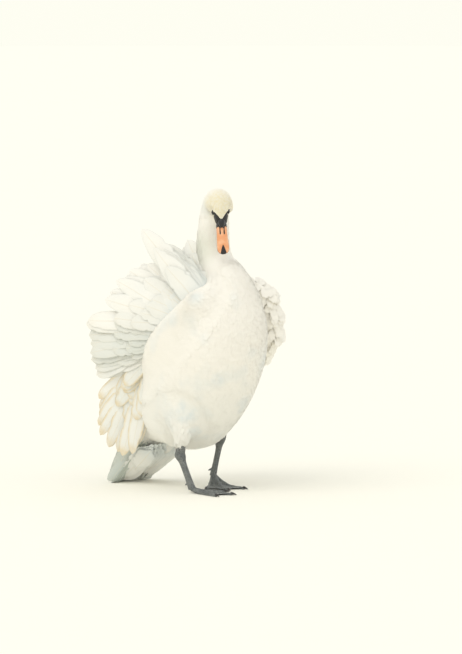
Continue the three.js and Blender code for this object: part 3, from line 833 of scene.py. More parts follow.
# how far each arm's front side runs on into the breast, and how deep it is sunk there
ARM_FRONT = {"right": (1.7, 0.8), "left": (1.1, 0.2)}
ARM_COAT, ARM_ROWS, ARM_SIDES = 6.0, 44, 48
THIGH_COAT, THIGH_ROWS, THIGH_SIDES = 8.0, 36, 48
TOES = {"inner": (-33, 98, 7.2), "middle": (0, 136, 8), "outer": (27, 128, 7.2)}  # angle, length, root radius
TOE_TIP, CLAW_LENGTH, CLAW_RADIUS = 4.2, 15, 4.1
SHANK_ACROSS, SHANK_ALONG = 8.8, 12.0


@dataclass(frozen=True)
class Leg:
    """One leg: its toes' joint, hock and knee, its heading and how far along its toes touch the floor."""

    side: float
    toes: Array
    hock: Array
    knee: Array
    turn: float
    settle: float

    def toe_point(self, toe: str, share: float, reach: float = 0.0) -> Array:
        """A place on a toe's middle line, share of the way to its tip, or reach millimetres past it.

        Args:
            toe: the toe's name.
            share: how far along the toe.
            reach: a further length past that place.

        Returns:
            The place, dropped to the toe's half thickness off the floor where the toe touches down.
        """
        angle, length, radius = TOES[toe]
        low = (radius + (TOE_TIP - radius) * share) * 0.86
        drop = max(0.0, 1 - share / self.settle) ** 2
        heading = math.radians(self.turn + self.side * angle)
        onward = vec(math.sin(heading), -math.cos(heading), 0.0)
        point = self.toes + onward * (share * length + reach)
        point[2] = low + (self.toes[2] - low) * drop
        return point

    def shank(self) -> Shape:
        """The bare leg from the toes' joint past the hock into the thigh."""
        shares = vec(-0.02, 0.0, 0.1, 0.25, 0.45, 0.65, 0.8, 0.9, 1.0)
        points = self.toes + (self.hock - self.toes) * shares[:, None]
        upper = self.hock + (self.knee - self.hock) * vec(0.14, 0.34, 1.0)[:, None]
        points = np.vstack([points, upper])
        thick = 1 + 0.12 * np.clip(1 - shares / 0.2, 0, 1) - 0.05 * hump(shares, 0.5, 0.3)
        thick = thick + 0.62 * hump(shares, 0.97, 0.13)
        sizes = np.outer(thick, [SHANK_ACROSS, SHANK_ALONG])
        sizes = np.vstack([sizes, [[13.5, 18.5], [13.0, 17.0], [14, 17.6]]])
        fine = np.linspace(0, 1, 70)
        return self.tube(through(points, fine), through(sizes, fine), 40, True)

    def tube(self, points: Array, sizes: Array, sides: int, sinews: bool = False) -> Shape:
        """A tube through points, oval across; sinews press two grooves down its sides.

        Args:
            points: its middle line.
            sizes: half width and half depth at each point.
            sides: points to a ring.
            sinews: whether the grooves are pressed.

        Returns:
            The closed tube, flat where it meets the floor.
        """
        top = unit(vec(0.0, -1.0, 0.32))
        rings = ovals(points, LEFT, top, sizes, sides)
        if sinews:
            angle = full_turn(sides)
            groove = hump(angle, np.pi * 1.08, 0.3) + hump(angle, np.pi * 1.92, 0.3)
            centre = points[:, None]
            rings = centre + (rings - centre) * (1 - 0.13 * groove)[None, :, None]
        return lofted(on_floor(rings))

    def toe(self, toe: str) -> Shape:
        """One toe: three joints with pads below, dropping to the floor and running along it.

        Args:
            toe: the toe's name.

        Returns:
            The closed toe without its claw.
        """
        *_, radius = TOES[toe]
        shares = np.linspace(0, 1, 40)
        points = np.array([self.toe_point(toe, share) for share in shares])
        joints = sum(hump(shares, place, 0.045) for place in (0.36, 0.62, 0.85))
        thick = radius + (TOE_TIP - radius) * shares + 0.9 * joints
        along = unit(np.gradient(points, axis=0))
        side = unit(np.cross(along, UP))
        top = np.cross(side, along)
        angle = full_turn(20)
        high = np.where(np.sin(angle) > 0, 0.86, 1.1) * np.sin(angle)
        rings = points[:, None] + thick[:, None, None] * (
            side[:, None] * np.cos(angle)[None, :, None] + top[:, None] * high[None, :, None]
        )
        return lofted(on_floor(rings))

    def web(self, first: str, second: str) -> Shape:
        """The skin between two toes, scalloped in front and thinner in the middle.

        Args:
            first: the toe on one side.
            second: the toe on the other.

        Returns:
            The closed sheet between them.
        """
        rows, columns, half = 16, 15, 1.5
        rings = []
        for i in range(rows):
            across = np.linspace(0, 1, columns)
            reach = (0.05 + (i + 1) / rows * 0.95) * (0.93 - 0.17 * np.sin(np.pi * across))
            ends = [np.array([self.toe_point(toe, share) for share in reach]) for toe in (first, second)]
            middle = ends[0] * (1 - across)[:, None] + ends[1] * across[:, None]
            folds = 0.9 * np.sin(across * np.pi * 5) * np.sin(np.pi * across)
            middle[:, 2] = np.maximum(middle[:, 2] + folds, half)
            offset = UP * half * (1 - 0.25 * np.sin(np.pi * across))[:, None]
            rings.append(np.vstack([middle + offset, (middle - offset)[::-1]]))
        return lofted(np.array(rings))

    def hind_toe(self) -> Shape:
        """The small raised toe behind."""
        start = self.toes + (self.hock - self.toes) * 0.17
        heading = math.radians(self.turn + 180 + self.side * 28)
        onward = unit(vec(math.sin(heading), -math.cos(heading), -0.35))
        shares = np.linspace(0, 1, 14)
        sizes = 4.6 * (1 - 0.62 * shares**2)
        side = unit(np.cross(onward, UP))
        middle = start + np.outer(shares * 27, onward)
        rings = ovals(middle, side, np.cross(side, onward), np.stack([sizes, sizes], 1), 14)
        return lofted(on_floor(rings))

    def bare(self, name: str) -> Shape:
        """Shank, toes and webs melted into one, with flat soles on the floor."""
        parts = [self.shank(), self.hind_toe(), self.web("inner", "middle"), self.web("middle", "outer")]
        parts += [self.toe(toe) for toe in TOES]
        shape = remeshed(f"leg_{name}", parts, 1.35, 5)
        shape.points[:, 2] = np.where(shape.points[:, 2] < 0.9, 0.0, shape.points[:, 2])
        return shape

    def thigh(self) -> Shape:
        """The thigh under its feathers, from just above the hock into the belly."""
        hip = self.knee + vec(self.side * 6, 26, 66)
        low, middle = (self.hock + (self.knee - self.hock) * share for share in (0.36, 0.66))
        shares = np.linspace(0, 1, THIGH_ROWS)
        size = through(np.array([[18], [32], [48], [70]]), shares)[:, 0]
        size = size * size / (size + THIGH_COAT + 14 * smooth(0.3, 0.75, shares))
        top = unit(vec(0.0, -1.0, 0.25))
        points = through(np.array([low, middle, self.knee, hip]), shares)
        return lofted(ovals(points, LEFT, top, np.stack([size * 0.86, size], 1), THIGH_SIDES))


LEGS = {
    "right": Leg(
        side=-1,
        toes=vec(-89.0, -41, 13),
        hock=vec(-94.0, 8, 112),
        knee=vec(-98.0, -12, 186),
        turn=20,
        settle=0.42,
    ),
    "left": Leg(
        side=1,
        toes=vec(75.0, 47, 38),
        hock=vec(92.0, 32, 143),
        knee=vec(98.0, 22, 212),
        turn=-22,
        settle=0.66,
    ),
}


class Region(Enum):
    """What a patch of skin belongs to, with the part of the unwrap that it fills: [u, v, width, height]."""

    BODY = (0.0, 0.0, 0.62, 1.0)
    ARM_RIGHT = (0.64, 0.0, 0.12, 0.48)
    ARM_LEFT = (0.64, 0.52, 0.12, 0.48)
    THIGH_RIGHT = (0.78, 0.0, 0.10, 0.48)
    THIGH_LEFT = (0.78, 0.52, 0.10, 0.48)
    LEG = (0.90, 0.0, 0.10, 1.0)
    LID = (0.90, 0.0, 0.02, 0.02)


@dataclass
class Patch:
    """Points of one region of the skin, with the lie of its feathers and its place on the unwrap."""

    region: Region
    points: Array
    lie: Array
    spread: Array
    station: Array


@dataclass
class Skin:
    """The one closed skin of body, wings' arms, thighs, legs, feet and eyelids."""

    body_sides: int = 120
    trunk_rows: int = 96
    neck_rows: int = 104
    head_rows: int = 88
    patches: list[Patch] = field(default_factory=list)

    def stations(self) -> Array:
        """Where the body's rings lie, closest on the head."""
        trunk = np.linspace(0, NECK_ROOT, self.trunk_rows, endpoint=False)
        neck = np.linspace(NECK_ROOT, CROWN, self.neck_rows, endpoint=False)
        return np.concatenate([trunk, neck, np.linspace(CROWN, LAST, self.head_rows)])

    def patch(self, region: Region, rings: Array, lie: Array, station: Array) -> None:
        """Remembers rings of a region, so that each point of the finished skin can look up its nearest.

        Args:
            region: what the rings belong to.
            rings: their points.
            lie: which way the feathers lie at each point.
            station: one number for each ring.
        """
        rows, sides, _ = rings.shape
        u, v, width, height = region.value
        turn = np.linspace(0, 1, sides, endpoint=False)
        along, around = np.meshgrid(np.linspace(0, 1, rows), turn, indexing="ij")
        spread = np.stack([u + width * along, v + height * around, np.zeros_like(along)], -1)
        numbers = np.repeat(station, sides)
        flat = (values.reshape(-1, 3) for values in (rings, lie, spread))
        self.patches.append(Patch(region, *flat, numbers))

    def face_relief(self, rings: Array) -> Array:
        """How far the head's skin stands out at brow and cheek, and in at eye socket, lores and jaw.

        Args:
            rings: points of the body.

        Returns:
            Millimetres outwards for each point.
        """
        forward, left, height = HEAD_AXES.measures(rings)
        outward = np.abs(left) / 22.0
        reach = np.hypot(forward - EYE_FORWARD, (height - EYE_HEIGHT) * 1.15)
        brow = 1.9 * hump(forward, 3, 11) * hump(height, 14.5, 4.5) * smooth(0.35, 0.8, outward)
        cheek = 2.4 * hump(forward, -9, 13) * hump(height, -11, 10) * smooth(0.3, 0.9, outward)
        socket = -2.2 * hump(reach, 8.5, 4.0) * smooth(0.5, 0.8, outward)
        lore = -1.5 * hump(height, 1.5, 4.5) * smooth(6, 14, forward) * smooth(0.2, 0.5, outward)
        temple = -0.9 * hump(forward, -13, 7) * hump(height, 10, 7) * smooth(0.4, 0.8, outward)
        jaw = -0.8 * hump(forward, 17, 8) * hump(height, -15, 3.5) * smooth(0.2, 0.6, outward)
        near = smooth(60, 36, np.linalg.norm(rings - HEAD_AXES.origin, axis=-1))
        return (brow + cheek + socket + lore + temple + jaw) * near

    def body(self) -> Shape:
        """Trunk, neck and head as one loft."""
        stations = self.stations()
        rings = body_rings(stations, self.body_sides)
        outward = unit(rings - rings.mean(1, keepdims=True))
        rings = rings + outward * self.face_relief(rings)[..., None]
        lie = -unit(np.gradient(rings, axis=0))
        self.patch(Region.BODY, rings, lie, stations)
        return lofted(rings)

    def arm(self, name: str) -> Shape:
        """The arm of a folded wing, whose feathers lie backwards along the body.

        Args:
            name: the side that the wing is on.

        Returns:
            The closed arm, sunk into the body in front.
        """
        table = np.array(ARMS[name], float)
        shares = np.linspace(0, 1, ARM_ROWS)
        points = through(table[:, :3], shares)
        sizes = through(table[:, 3:], shares)
        sizes = sizes * sizes / (sizes + ARM_COAT)
        along = tangents(table[:, :3], shares)
        side = points - through(CENTRES, vec(6 / LAST))
        side = unit(side - along * np.sum(side * along, -1, keepdims=True))
        ahead = np.cross(along, side)
        ahead = ahead * np.sign(ahead @ vec(0, -1.0, -0.6))[:, None]
        angle = full_turn(ARM_SIDES)[None, :, None]
        stretch, depth = ARM_FRONT[name]
        slope = np.where(np.sin(angle) > 0, stretch, 1.0)
        rings = points[:, None] + side[:, None] * (sizes[:, :1, None] * np.cos(angle))
        rings = rings + ahead[:, None] * (sizes[:, 1:, None] * np.sin(angle) * slope)
        sunk = np.maximum(np.sin(angle), 0) ** 2 * depth
        rings = rings - side[:, None] * (sizes[:, :1, None] * sunk)
        back = np.array([SIDES[name] * 0.10, 0.93, -0.32])
        lie = np.broadcast_to(unit(back + 0.25 * along), points.shape)
        lie = np.repeat(lie, ARM_SIDES, 0).reshape(rings.shape)
        self.patch(Region[f"ARM_{name.upper()}"], rings, lie, shares)
        return lofted(rings)

    def thigh(self, name: str) -> Shape:
        """A thigh, whose feathers lie down towards the hock."""
        shape = LEGS[name].thigh()
        rings = shape.points[:-2].reshape(THIGH_ROWS, THIGH_SIDES, 3)
        lie = np.broadcast_to(np.array([SIDES[name] * -0.1, 0.35, -1.0]), rings.shape)
        self.patch(Region[f"THIGH_{name.upper()}"], rings, unit(lie), np.linspace(0, 1, THIGH_ROWS))
        return shape

    def leg(self, name: str) -> Shape:
        """A bare leg with its foot."""
        shape = LEGS[name].bare(name)
        lie = np.broadcast_to(-UP, (len(shape.points), 1, 3))
        self.patch(Region.LEG, shape.points[:, None], lie, np.zeros(len(shape.points)))
        return shape

    def lid(self, name: str) -> Shape:
        """The rims of both lids as one almond-shaped loop that hugs the eyeball.

        Args:
            name: the side that the eye is on.

        Returns:
            The closed loop.
        """
        side = SIDES[name]
        round_rim = full_turn(12)
        rings = []
        for angle in full_turn(56):
            corner = abs(math.cos(angle)) ** 6
            high = 4.5 if angle < np.pi else 4.1
            reach = vec(math.cos(angle) * (5.3 + corner), math.sin(angle) * high)
            radial = reach / np.linalg.norm(reach)
            out = 21.8 + math.sqrt(max(6.4**2 - float(reach @ reach), 5.0)) - 0.9
            spot = 1.75 * np.cos(round_rim), 1.05 * np.sin(round_rim)
            wide = np.outer(spot[0], radial) + np.outer(spot[1] * 0.55, radial)
            forward = EYE_FORWARD + reach[0] + wide[:, 0]
            height = EYE_HEIGHT + reach[1] + wide[:, 1]
            left = side * (out + spot[1] * 0.9 - spot[0] * 0.75)
            rings.append(HEAD_AXES.point(forward, left, height))
        rings = np.array(rings)
        rows, sides, _ = rings.shape
        row, edge = np.meshgrid(np.arange(rows), np.arange(sides), indexing="ij")
        after, next_edge = (row + 1) % rows, (edge + 1) % sides
        here, onward = row * sides, after * sides
        quads = np.stack([here + edge, here + next_edge, onward + next_edge, onward + edge], -1)
        points = rings.reshape(-1, 3)
        self.patch(Region.LID, rings, np.broadcast_to(-HEAD_AXES.forward, rings.shape), np.full(rows, CROWN + 1))
        return Shape(points, [quads.reshape(-1, 4)]).facing_out()

    def united(self) -> Mesh:
        """Joins every part of the skin into one closed mesh."""
        base = shown("skin_body", mesh_of("skin_body", self.body()))
        makers = {"arm": self.arm, "thigh": self.thigh, "bare_leg": self.leg, "lid": self.lid}
        others = {f"{part}_{name}": make(name) for part, make in makers.items() for name in SIDES}
        tools = []
        for name, shape in others.items():
            tool = shown(name, mesh_of(name, shape))
            join = base.modifiers.new(name, "BOOLEAN")
            join.operation = "UNION"
            join.solver = "MANIFOLD"
            join.object = tool
            tools.append(tool)
        mesh = settled(base)
        for thing in [base, *tools]:
            discard(thing)
        mesh.polygons.foreach_set("use_smooth", np.ones(len(mesh.polygons), bool))
        return mesh

    def found(self, points: Array, regions: tuple[Region, ...] = tuple(Region)) -> list[tuple]:
        """Place, number and distance of the remembered point of some regions nearest to each point."""
        known = np.concatenate([patch.points for patch in self.patches if patch.region in regions])
        tree = KDTree(len(known))
        for index, point in enumerate(known):
            tree.insert(point, index)
        tree.balance()
        return [tree.find(point) for point in points]

    def nearest(self, points: Array) -> Array:
        """For each point, the number of the nearest remembered point."""
        return np.array([number for _, number, _ in self.found(points)])

    def distances(self, points: Array, *regions: Region) -> Array:
        """How far each point is from the nearest remembered point of some regions."""
        return np.array([distance for _, _, distance in self.found(points, regions)])

    def joins(self, points: Array) -> Array:
        """How near each point is to the grooves where wings and thighs leave the body, up to 0.55."""
        body = self.distances(points, Region.BODY)
        arms = self.distances(points, Region.ARM_RIGHT, Region.ARM_LEFT)
        thighs = self.distances(points, Region.THIGH_RIGHT, Region.THIGH_LEFT)
        by_arms = smooth(40.0, 16.0, np.maximum(body, arms))
        by_thighs = smooth(66.0, 26.0, np.maximum(body, thighs))
        return 0.55 * np.maximum(by_arms, by_thighs) * smooth(3, 16, self.distances(points, Region.LEG))

    def build(self) -> Mesh:
        """Makes the skin and stores on its points what the coat and the finish need."""
        mesh = self.united()
        points = coordinates(mesh)
        joins = self.joins(points)
        near = self.nearest(points)
        lie = np.concatenate([patch.lie for patch in self.patches])[near]
        mark(mesh, "lie", unit(evened(mesh, lie, joins)))
        points = evened(mesh, points, joins)
        mesh.vertices.foreach_set("co", placed(points).astype(np.float32).reshape(-1))
        regions = list(Region)
        numbers = [np.full(len(patch.points), regions.index(patch.region)) for patch in self.patches]
        numbers = np.concatenate(numbers)[near]
        station = np.concatenate([patch.station for patch in self.patches])[near]
        mark(mesh, "unwrap", np.concatenate([patch.spread for patch in self.patches])[near])
        for name, values in CoatMap(points, numbers, station).marks().items():
            mark(mesh, name, values)
        return mesh


# ---- The coat of small feathers ----

# [station, feather length, lift in radians]
BODY_FEATHERS = [
    [0, 34, 0.16],
    [3, 29, 0.13],
    [6, 26, 0.11],
    [9, 24, 0.10],
    [10.4, 23, 0.10],
    [12, 20, 0.10],
    [14, 17, 0.10],
    [17, 14, 0.11],
    [20, 10, 0.12],
    [22, 7.5, 0.13],
    [24, 5.4, 0.13],
    [27, 3.6, 0.12],
]


@dataclass
class CoatMap:
    """What the coat is like at each point of the skin, from its region and its place."""

    points: Array
    region: Array
    station: Array

    def of(self, *regions: Region) -> Array:
        """One where a point belongs to one of the regions."""
        numbers = [list(Region).index(region) for region in regions]
        return np.isin(self.region, numbers).astype(float)

    def bare_face(self) -> Array:
        """One on the black skin from the bill to the eyes and round the eyelids."""
        forward, left, height = HEAD_AXES.measures(self.points)
        share = np.clip((forward - 4) / 22, 0, 1)
        above = smooth(-1.0, 1.0, forward - 30 + 27 * np.abs(left) / 20.0)
        below = smooth(-0.8, 0.8, height - 2.4 + 17 * share)
        triangle = above * below * smooth(3.0, 5.0, forward)
        reach = np.hypot(forward - EYE_FORWARD, height - EYE_HEIGHT)
        ring = smooth(7.4, 6.6, reach) * (np.abs(left) > 14)
        root = smooth(27.0, 28.5, forward) * (np.abs(height) < 40)
        near = np.linalg.norm(self.points - HEAD_AXES.origin, axis=-1) < 60
        face = np.max([triangle, ring, root], axis=0) * near * self.of(Region.BODY)
        return np.maximum(face, self.of(Region.LID))

    def marks(self) -> dict[str, Array]:
        """Every value that the coat or the finish reads, by name."""
        face, body, arm_left = self.bare_face(), self.of(Region.BODY), self.of(Region.ARM_LEFT)
        table = np.array(BODY_FEATHERS, float)
        length = np.interp(self.station, table[:, 0], table[:, 1])
        lift = np.interp(self.station, table[:, 0], table[:, 2])
        ruffle = 0.5 + 0.5 * np.sin(self.points[:, 2] / 9.0 + 1.3 * np.sin(self.points[:, 1] / 17.0))
        length = np.where(body > 0, length, 27.0) + (4 + 12 * ruffle) * arm_left
        lift = np.where(body > 0, lift, 0.11) + (0.04 + 0.30 * ruffle) * arm_left
        between = {
            "in_head": (20.0, 99.0),
            "in_neck": (14.6, 20.0),
            "in_throat": (10.9, 14.6),
            "in_breast": (8.0, 10.9),
            "in_belly": (5.6, 8.0),
            "in_flank": (3.2, 5.6),
            "in_rump": (-1.0, 3.2),
        }
        marks = {}
        for name, (low, high) in between.items():
            within = smooth(low - 0.5, low + 0.5, self.station) * smooth(high + 0.5, high - 0.5, self.station)
            marks[name] = body * (1 - face) * within
        limbs = (Region.ARM_RIGHT, Region.ARM_LEFT, Region.THIGH_RIGHT, Region.THIGH_LEFT)
        marks |= {f"in_{region.name.lower()}": self.of(region) for region in limbs}
        marks |= {"feather_length": length * MM, "feather_lift": lift}
        marks |= {"bare_face": face, "bare_leg": self.of(Region.LEG)}
        return marks


def blade(rows: Array, corners: int, droop: float = 0.06) -> Shape:
    """A thin closed blade of unit length.

    Args:
        rows: [along, across, height, half width] of each ring; the last closes to a point.
        corners: three for a flat-bottomed blade, four for a vane with a ridge above and below.
        droop: how far the edges hang, as a share of the half width.

    Returns:
        The blade with its Vane map, across and along.
    """
    thick = 0.009
    points, spots = [], []
    for along, across, height, half in rows[:-1]:
        ring = [[across - half, along, height - droop * half], [across, along, height + thick]]
        ring.append([across + half, along, height - droop * half])
        if corners == 4:
            ring.append([across, along, height - thick])
        points += ring
        spots += [[0.5 + x, along] for x, _, _ in ring]
    along, across, height, _ = rows[-1]
    points += [[across, along, height], list(np.mean(points[:corners], 0))]
    spots += [[0.5 + across, along], [0.5, rows[0][0]]]
    count = len(rows) - 1
    quads = ring_faces(count, corners)[0]
    tip, root = count * corners, count * corners + 1
    edge = np.arange(corners)
    cap = np.stack([np.full(corners, root), (edge + 1) % corners, edge], -1)
    last = (count - 1) * corners
    point = np.stack([np.full(corners, tip), last + edge, last + (edge + 1) % corners], -1)
    shape = Shape(np.array(points, float), [quads, cap, point], {}, {"Vane": np.array(spots, float)})
    return shape.facing_out()


def bowed(along: float, bow: float = 0.035) -> float:
    """Height of a small feather's middle line, which arches up and comes down again at its tip."""
    return bow * (along - along * along) * 2 - 0.03 * along * along


class Feather(Enum):
    """Kinds of small feather."""

    VELVET = "velvet"
    SILK = "silk"
    CONTOUR = "contour"


def strand_shapes(spread: float, width: float, uneven: float) -> list[Shape]:
    """Three silky tufts of four slim strands each.

    Args:
        spread: how far the outer strands part, as a share of the tuft's length.
        width: half width of a strand.
        uneven: how much the strands differ in length.

    Returns:
        The tufts.
    """
    tufts = []
    for number, lean in enumerate((-0.05, 0.0, 0.05)):
        strands = []
        for order, side in enumerate((-1.0, -0.34, 0.3, 1.0)):
            reach = 1.0 - 0.12 * side * side - uneven * ((order + number) % 3) / 2
            rows = [[0, side * spread * 0.3, 0, width * 0.7]]
            rows.append([0.45, side * spread * 0.7 + lean, bowed(0.45), width])
            rows.append([reach, side * spread + lean * 2, bowed(reach) + 0.005 * side, 0])
            strands.append(blade(np.array(rows), 3))
        tufts.append(joined(strands))
    return tufts


def contour_shapes() -> list[Shape]:
    """Broad soft body feathers whose tips are parted into fine tongues."""
    shapes = []
    for lean, tongues in ((-0.03, 7), (0.04, 6), (0.0, 7)):
        base = [[0, 0.06], [0.16, 0.20], [0.42, 0.29], [0.64, 0.26], [0.76, 0.0]]
        pieces = [blade(np.array([[a, lean * a, bowed(a), half] for a, half in base]), 4)]
        for k, side in enumerate(np.linspace(-1, 1, tongues)):
            reach = 1.0 - 0.20 * side * side - 0.05 * (k % 2)
            start, middle = 0.50, 0.76
            rows = [
                [start, side * 0.20, bowed(start) - 0.010 * abs(side), 0.05],
                [middle, side * 0.24 + lean, bowed(middle) - 0.014 * abs(side) + 0.005 * (k % 2), 0.062],
                [reach, side * 0.20 + lean * 2, bowed(reach) - 0.014 * abs(side) + 0.005 * (k % 2), 0],
            ]
            pieces.append(blade(np.array(rows), 3))
        shapes.append(joined(pieces))
    return shapes


def feather_kit(kind: Feather) -> bpy.types.Collection:
    """A collection of unit-length feathers of one kind, kept out of the scene."""
    makers = {
        Feather.VELVET: lambda: strand_shapes(0.2, 0.10, 0.1),
        Feather.SILK: lambda: strand_shapes(0.26, 0.12, 0.16),
        Feather.CONTOUR: contour_shapes,
    }
    kit = bpy.data.collections.new(f"kit_{kind.value}")
    for number, shape in enumerate(makers[kind]()):
        name = f"{kind.value}_{number}"
        kit.objects.link(bpy.data.objects.new(name, mesh_of(name, shape, shift=False)))
    return kit


class ScatterTree:
    """The node tree that sets feathers on skin along their lie, as real mesh with an OFBake map."""

    patch_width = 0.003

    def __init__(self) -> None:
        """Builds the tree."""
        self.tree = bpy.data.node_groups.new("plumage", "GeometryNodeTree")
        self.graph = Graph(self.tree)
        self.socket("Skin", "Geometry")
        for name, kind in (
            ("Feathers", "Collection"),
            ("Part", "String"),
            ("Spacing", "Float"),
            ("Width", "Float"),
            ("Disorder", "Vector"),
            ("Seed", "Int"),
            ("Material", "Material"),
        ):
            self.socket(name, kind)
        self.tree.interface.new_socket("Coat", in_out="OUTPUT", socket_type="NodeSocketGeometry")
        self.build()

    def socket(self, name: str, kind: str) -> None:
        """Adds a named input."""
        self.tree.interface.new_socket(name, in_out="INPUT", socket_type=f"NodeSocket{kind}")

    def stored(self, name: str | Socket, kind: str = "FLOAT") -> Socket:
        """Reads a value that the skin's points carry."""
        node = self.graph.node("GeometryNodeInputNamedAttribute", {"data_type": kind}, {"Name": name})
        return node.outputs[0]

    def maths(self, operation: str, first: object, second: object, scale: object = None) -> Socket:
        """Adds one Vector Math node."""
        inputs = {0: first, 1: second} if scale is None else {0: first, "Scale": scale}
        return self.graph.node("ShaderNodeVectorMath", {"operation": operation}, inputs).outputs[0]

    def chance(self, kind: str, seed: Socket, step: int, low: object, high: object) -> Socket:
        """A random value for each feather, of type FLOAT, INT or FLOAT_VECTOR.

        Args:
            kind: the value's type.
            seed: the layer's seed.
            step: a number that no other value of the layer has.
            low: the least value.
            high: the greatest.

        Returns:
            The random value's output.
        """
        place = {"FLOAT_VECTOR": 0, "FLOAT": 2, "INT": 4}[kind]
        output = {"FLOAT_VECTOR": 0, "FLOAT": 1, "INT": 2}[kind]
        inputs = {place: low, place + 1: high, "Seed": Value(self.graph, seed) + float(step)}
        node = self.graph.node("FunctionNodeRandomValue", {"data_type": kind}, inputs)
        return node.outputs[output]

    def build(self) -> None:
        """Joins the nodes up, from skin to coat."""
        graph = self.graph
        given = graph.node("NodeGroupInput").outputs
        spacing = Value(graph, given["Spacing"])
        crowd = spacing.power(-2.0) * 3.0
        part = self.stored(given["Part"])
        here = graph.node("FunctionNodeCompare", {"operation": "GREATER_THAN"}, {0: part, 1: 0.01}).outputs[0]
        inputs = {"Mesh": given["Skin"], "Selection": here, "Distance Min": spacing, "Density Max": crowd}
        inputs |= {"Density Factor": part, "Seed": given["Seed"]}
        scatter = graph.node("GeometryNodeDistributePointsOnFaces", {"distribute_method": "POISSON"}, inputs)
        axes = {"primary_axis": "Z", "secondary_axis": "Y"}
        inputs = {0: scatter.outputs["Normal"], 1: self.stored("lie", "FLOAT_VECTOR")}
        upright = graph.node("FunctionNodeAxesToRotation", axes, inputs)
        tilt = self.chance("FLOAT_VECTOR", given["Seed"], 1, (-1.0, -1.0, -1.0), (1.0, 1.0, 1.0))
        tilt = self.maths("MULTIPLY", tilt, given["Disorder"])
        lifted = graph.node("ShaderNodeCombineXYZ", None, {0: self.stored("feather_lift")}).outputs[0]
        tilt = self.maths("ADD", tilt, lifted)
        euler = graph.node("FunctionNodeEulerToRotation", None, {0: tilt}).outputs[0]
        settings = {"rotation_space": "LOCAL"}
        spin = graph.node("FunctionNodeRotateRotation", settings, {0: upright.outputs[0], 1: euler})
        varied = Value(graph, self.chance("FLOAT", given["Seed"], 2, 0.9, 1.1))
        size = Value(graph, self.stored("feather_length")) * varied
        wide = size * Value(graph, given["Width"])
        scale = graph.node("ShaderNodeCombineXYZ", None, {0: wide, 1: size, 2: size})
        inputs = {0: given["Feathers"], "Separate Children": True, "Reset Children": True}
        kit = graph.node("GeometryNodeCollectionInfo", None, inputs)
        pick = self.chance("INT", given["Seed"], 3, 0, 11)
        inputs = {"Points": scatter.outputs["Points"], "Instance": kit.outputs[0], "Pick Instance": True}
        inputs |= {"Instance Index": pick, "Rotation": spin.outputs[0], "Scale": scale.outputs[0]}
        feathers = graph.node("GeometryNodeInstanceOnPoints", None, inputs)
        coat = graph.node("GeometryNodeRealizeInstances", None, {0: feathers.outputs[0]}).outputs[0]
        corner = self.maths("SUBTRACT", self.stored("Vane", "FLOAT_VECTOR"), (0.5, 0.5, 0.0))
        corner = self.maths("SCALE", corner, None, self.patch_width)
        spot = self.maths("ADD", self.stored("unwrap", "FLOAT_VECTOR"), corner)
        settings = {"data_type": "FLOAT2", "domain": "CORNER"}
        inputs = {0: coat, "Name": "OFBake", "Value": spot}
        coat = graph.node("GeometryNodeStoreNamedAttribute", settings, inputs).outputs[0]
        coat = graph.node("GeometryNodeSetMaterial", None, {0: coat, "Material": given["Material"]})
        graph.node("NodeGroupOutput", None, {0: coat.outputs[0]})

    def grown(
        self, name: str, skin: Mesh, layer: "Layer", kit: bpy.types.Collection, finish: Material
    ) -> Thing:
        """Grows one piece of coat on the skin.

        Args:
            name: the piece's name.
            skin: the finished skin.
            layer: spacing, width and disorder of the feathers.
            kit: the feathers to choose from.
            finish: their material.

        Returns:
            The coat as a plain mesh object.
        """
        host = shown(name, skin)
        modifier = host.modifiers.new("plumage", "NODES")
        modifier.node_group = self.tree
        values = {"Feathers": kit, "Part": f"in_{layer.part}", "Spacing": layer.spacing * MM}
        values |= {"Width": layer.width, "Disorder": layer.disorder, "Seed": layer.seed, "Material": finish}
        for item in self.tree.interface.items_tree:
            if item.in_out == "INPUT" and item.name in values:
                modifier[item.identifier] = values[item.name]
        mesh = settled(host)
        discard(host)
        spent = ("in_", "feather_", "bare_", "lie", "unwrap")
        for spare in [attribute.name for attribute in mesh.attributes if attribute.name.startswith(spent)]:
            mesh.attributes.remove(mesh.attributes[spare])
        mesh.name = name
        return shown(name, mesh)


@dataclass(frozen=True)
class Layer:
    """One piece of the coat: its part of the skin and the feathers on it, spacing in millimetres."""

    part: str
    kind: Feather
    spacing: float
    width: float
    disorder: tuple[float, float, float]
    seed: int


COAT_LAYERS = [
    Layer("head", Feather.VELVET, 2.0, 1.1, (0.01, 0.04, 0.12), 3),
    Layer("neck", Feather.VELVET, 2.8, 1.1, (0.01, 0.04, 0.14), 5),
    Layer("throat", Feather.VELVET, 3.4, 1.2, (0.01, 0.04, 0.14), 7),
    Layer("breast", Feather.SILK, 4.0, 1.15, (0.012, 0.05, 0.16), 9),
    Layer("belly", Feather.SILK, 4.5, 1.15, (0.012, 0.05, 0.16), 11),
    Layer("flank", Feather.SILK, 4.5, 1.15, (0.012, 0.05, 0.16), 13),
    Layer("rump", Feather.SILK, 4.5, 1.15, (0.02, 0.07, 0.18), 15),
    Layer("arm_right", Feather.SILK, 4.5, 1.15, (0.012, 0.05, 0.16), 17),
    Layer("arm_left", Feather.CONTOUR, 7.0, 1.05, (0.05, 0.12, 0.26), 19),
    Layer("thigh_right", Feather.SILK, 4.2, 1.15, (0.03, 0.10, 0.22), 21),
    Layer("thigh_left", Feather.SILK, 4.2, 1.15, (0.03, 0.10, 0.22), 23),
]
FLESH = ["trunk", "neck_lower", "neck_upper", "head"]
FLESH += [f"{node}_{name}" for node in ("wing", "thigh", "leg", "foot") for name in SIDES]


# ---- Long feathers ----


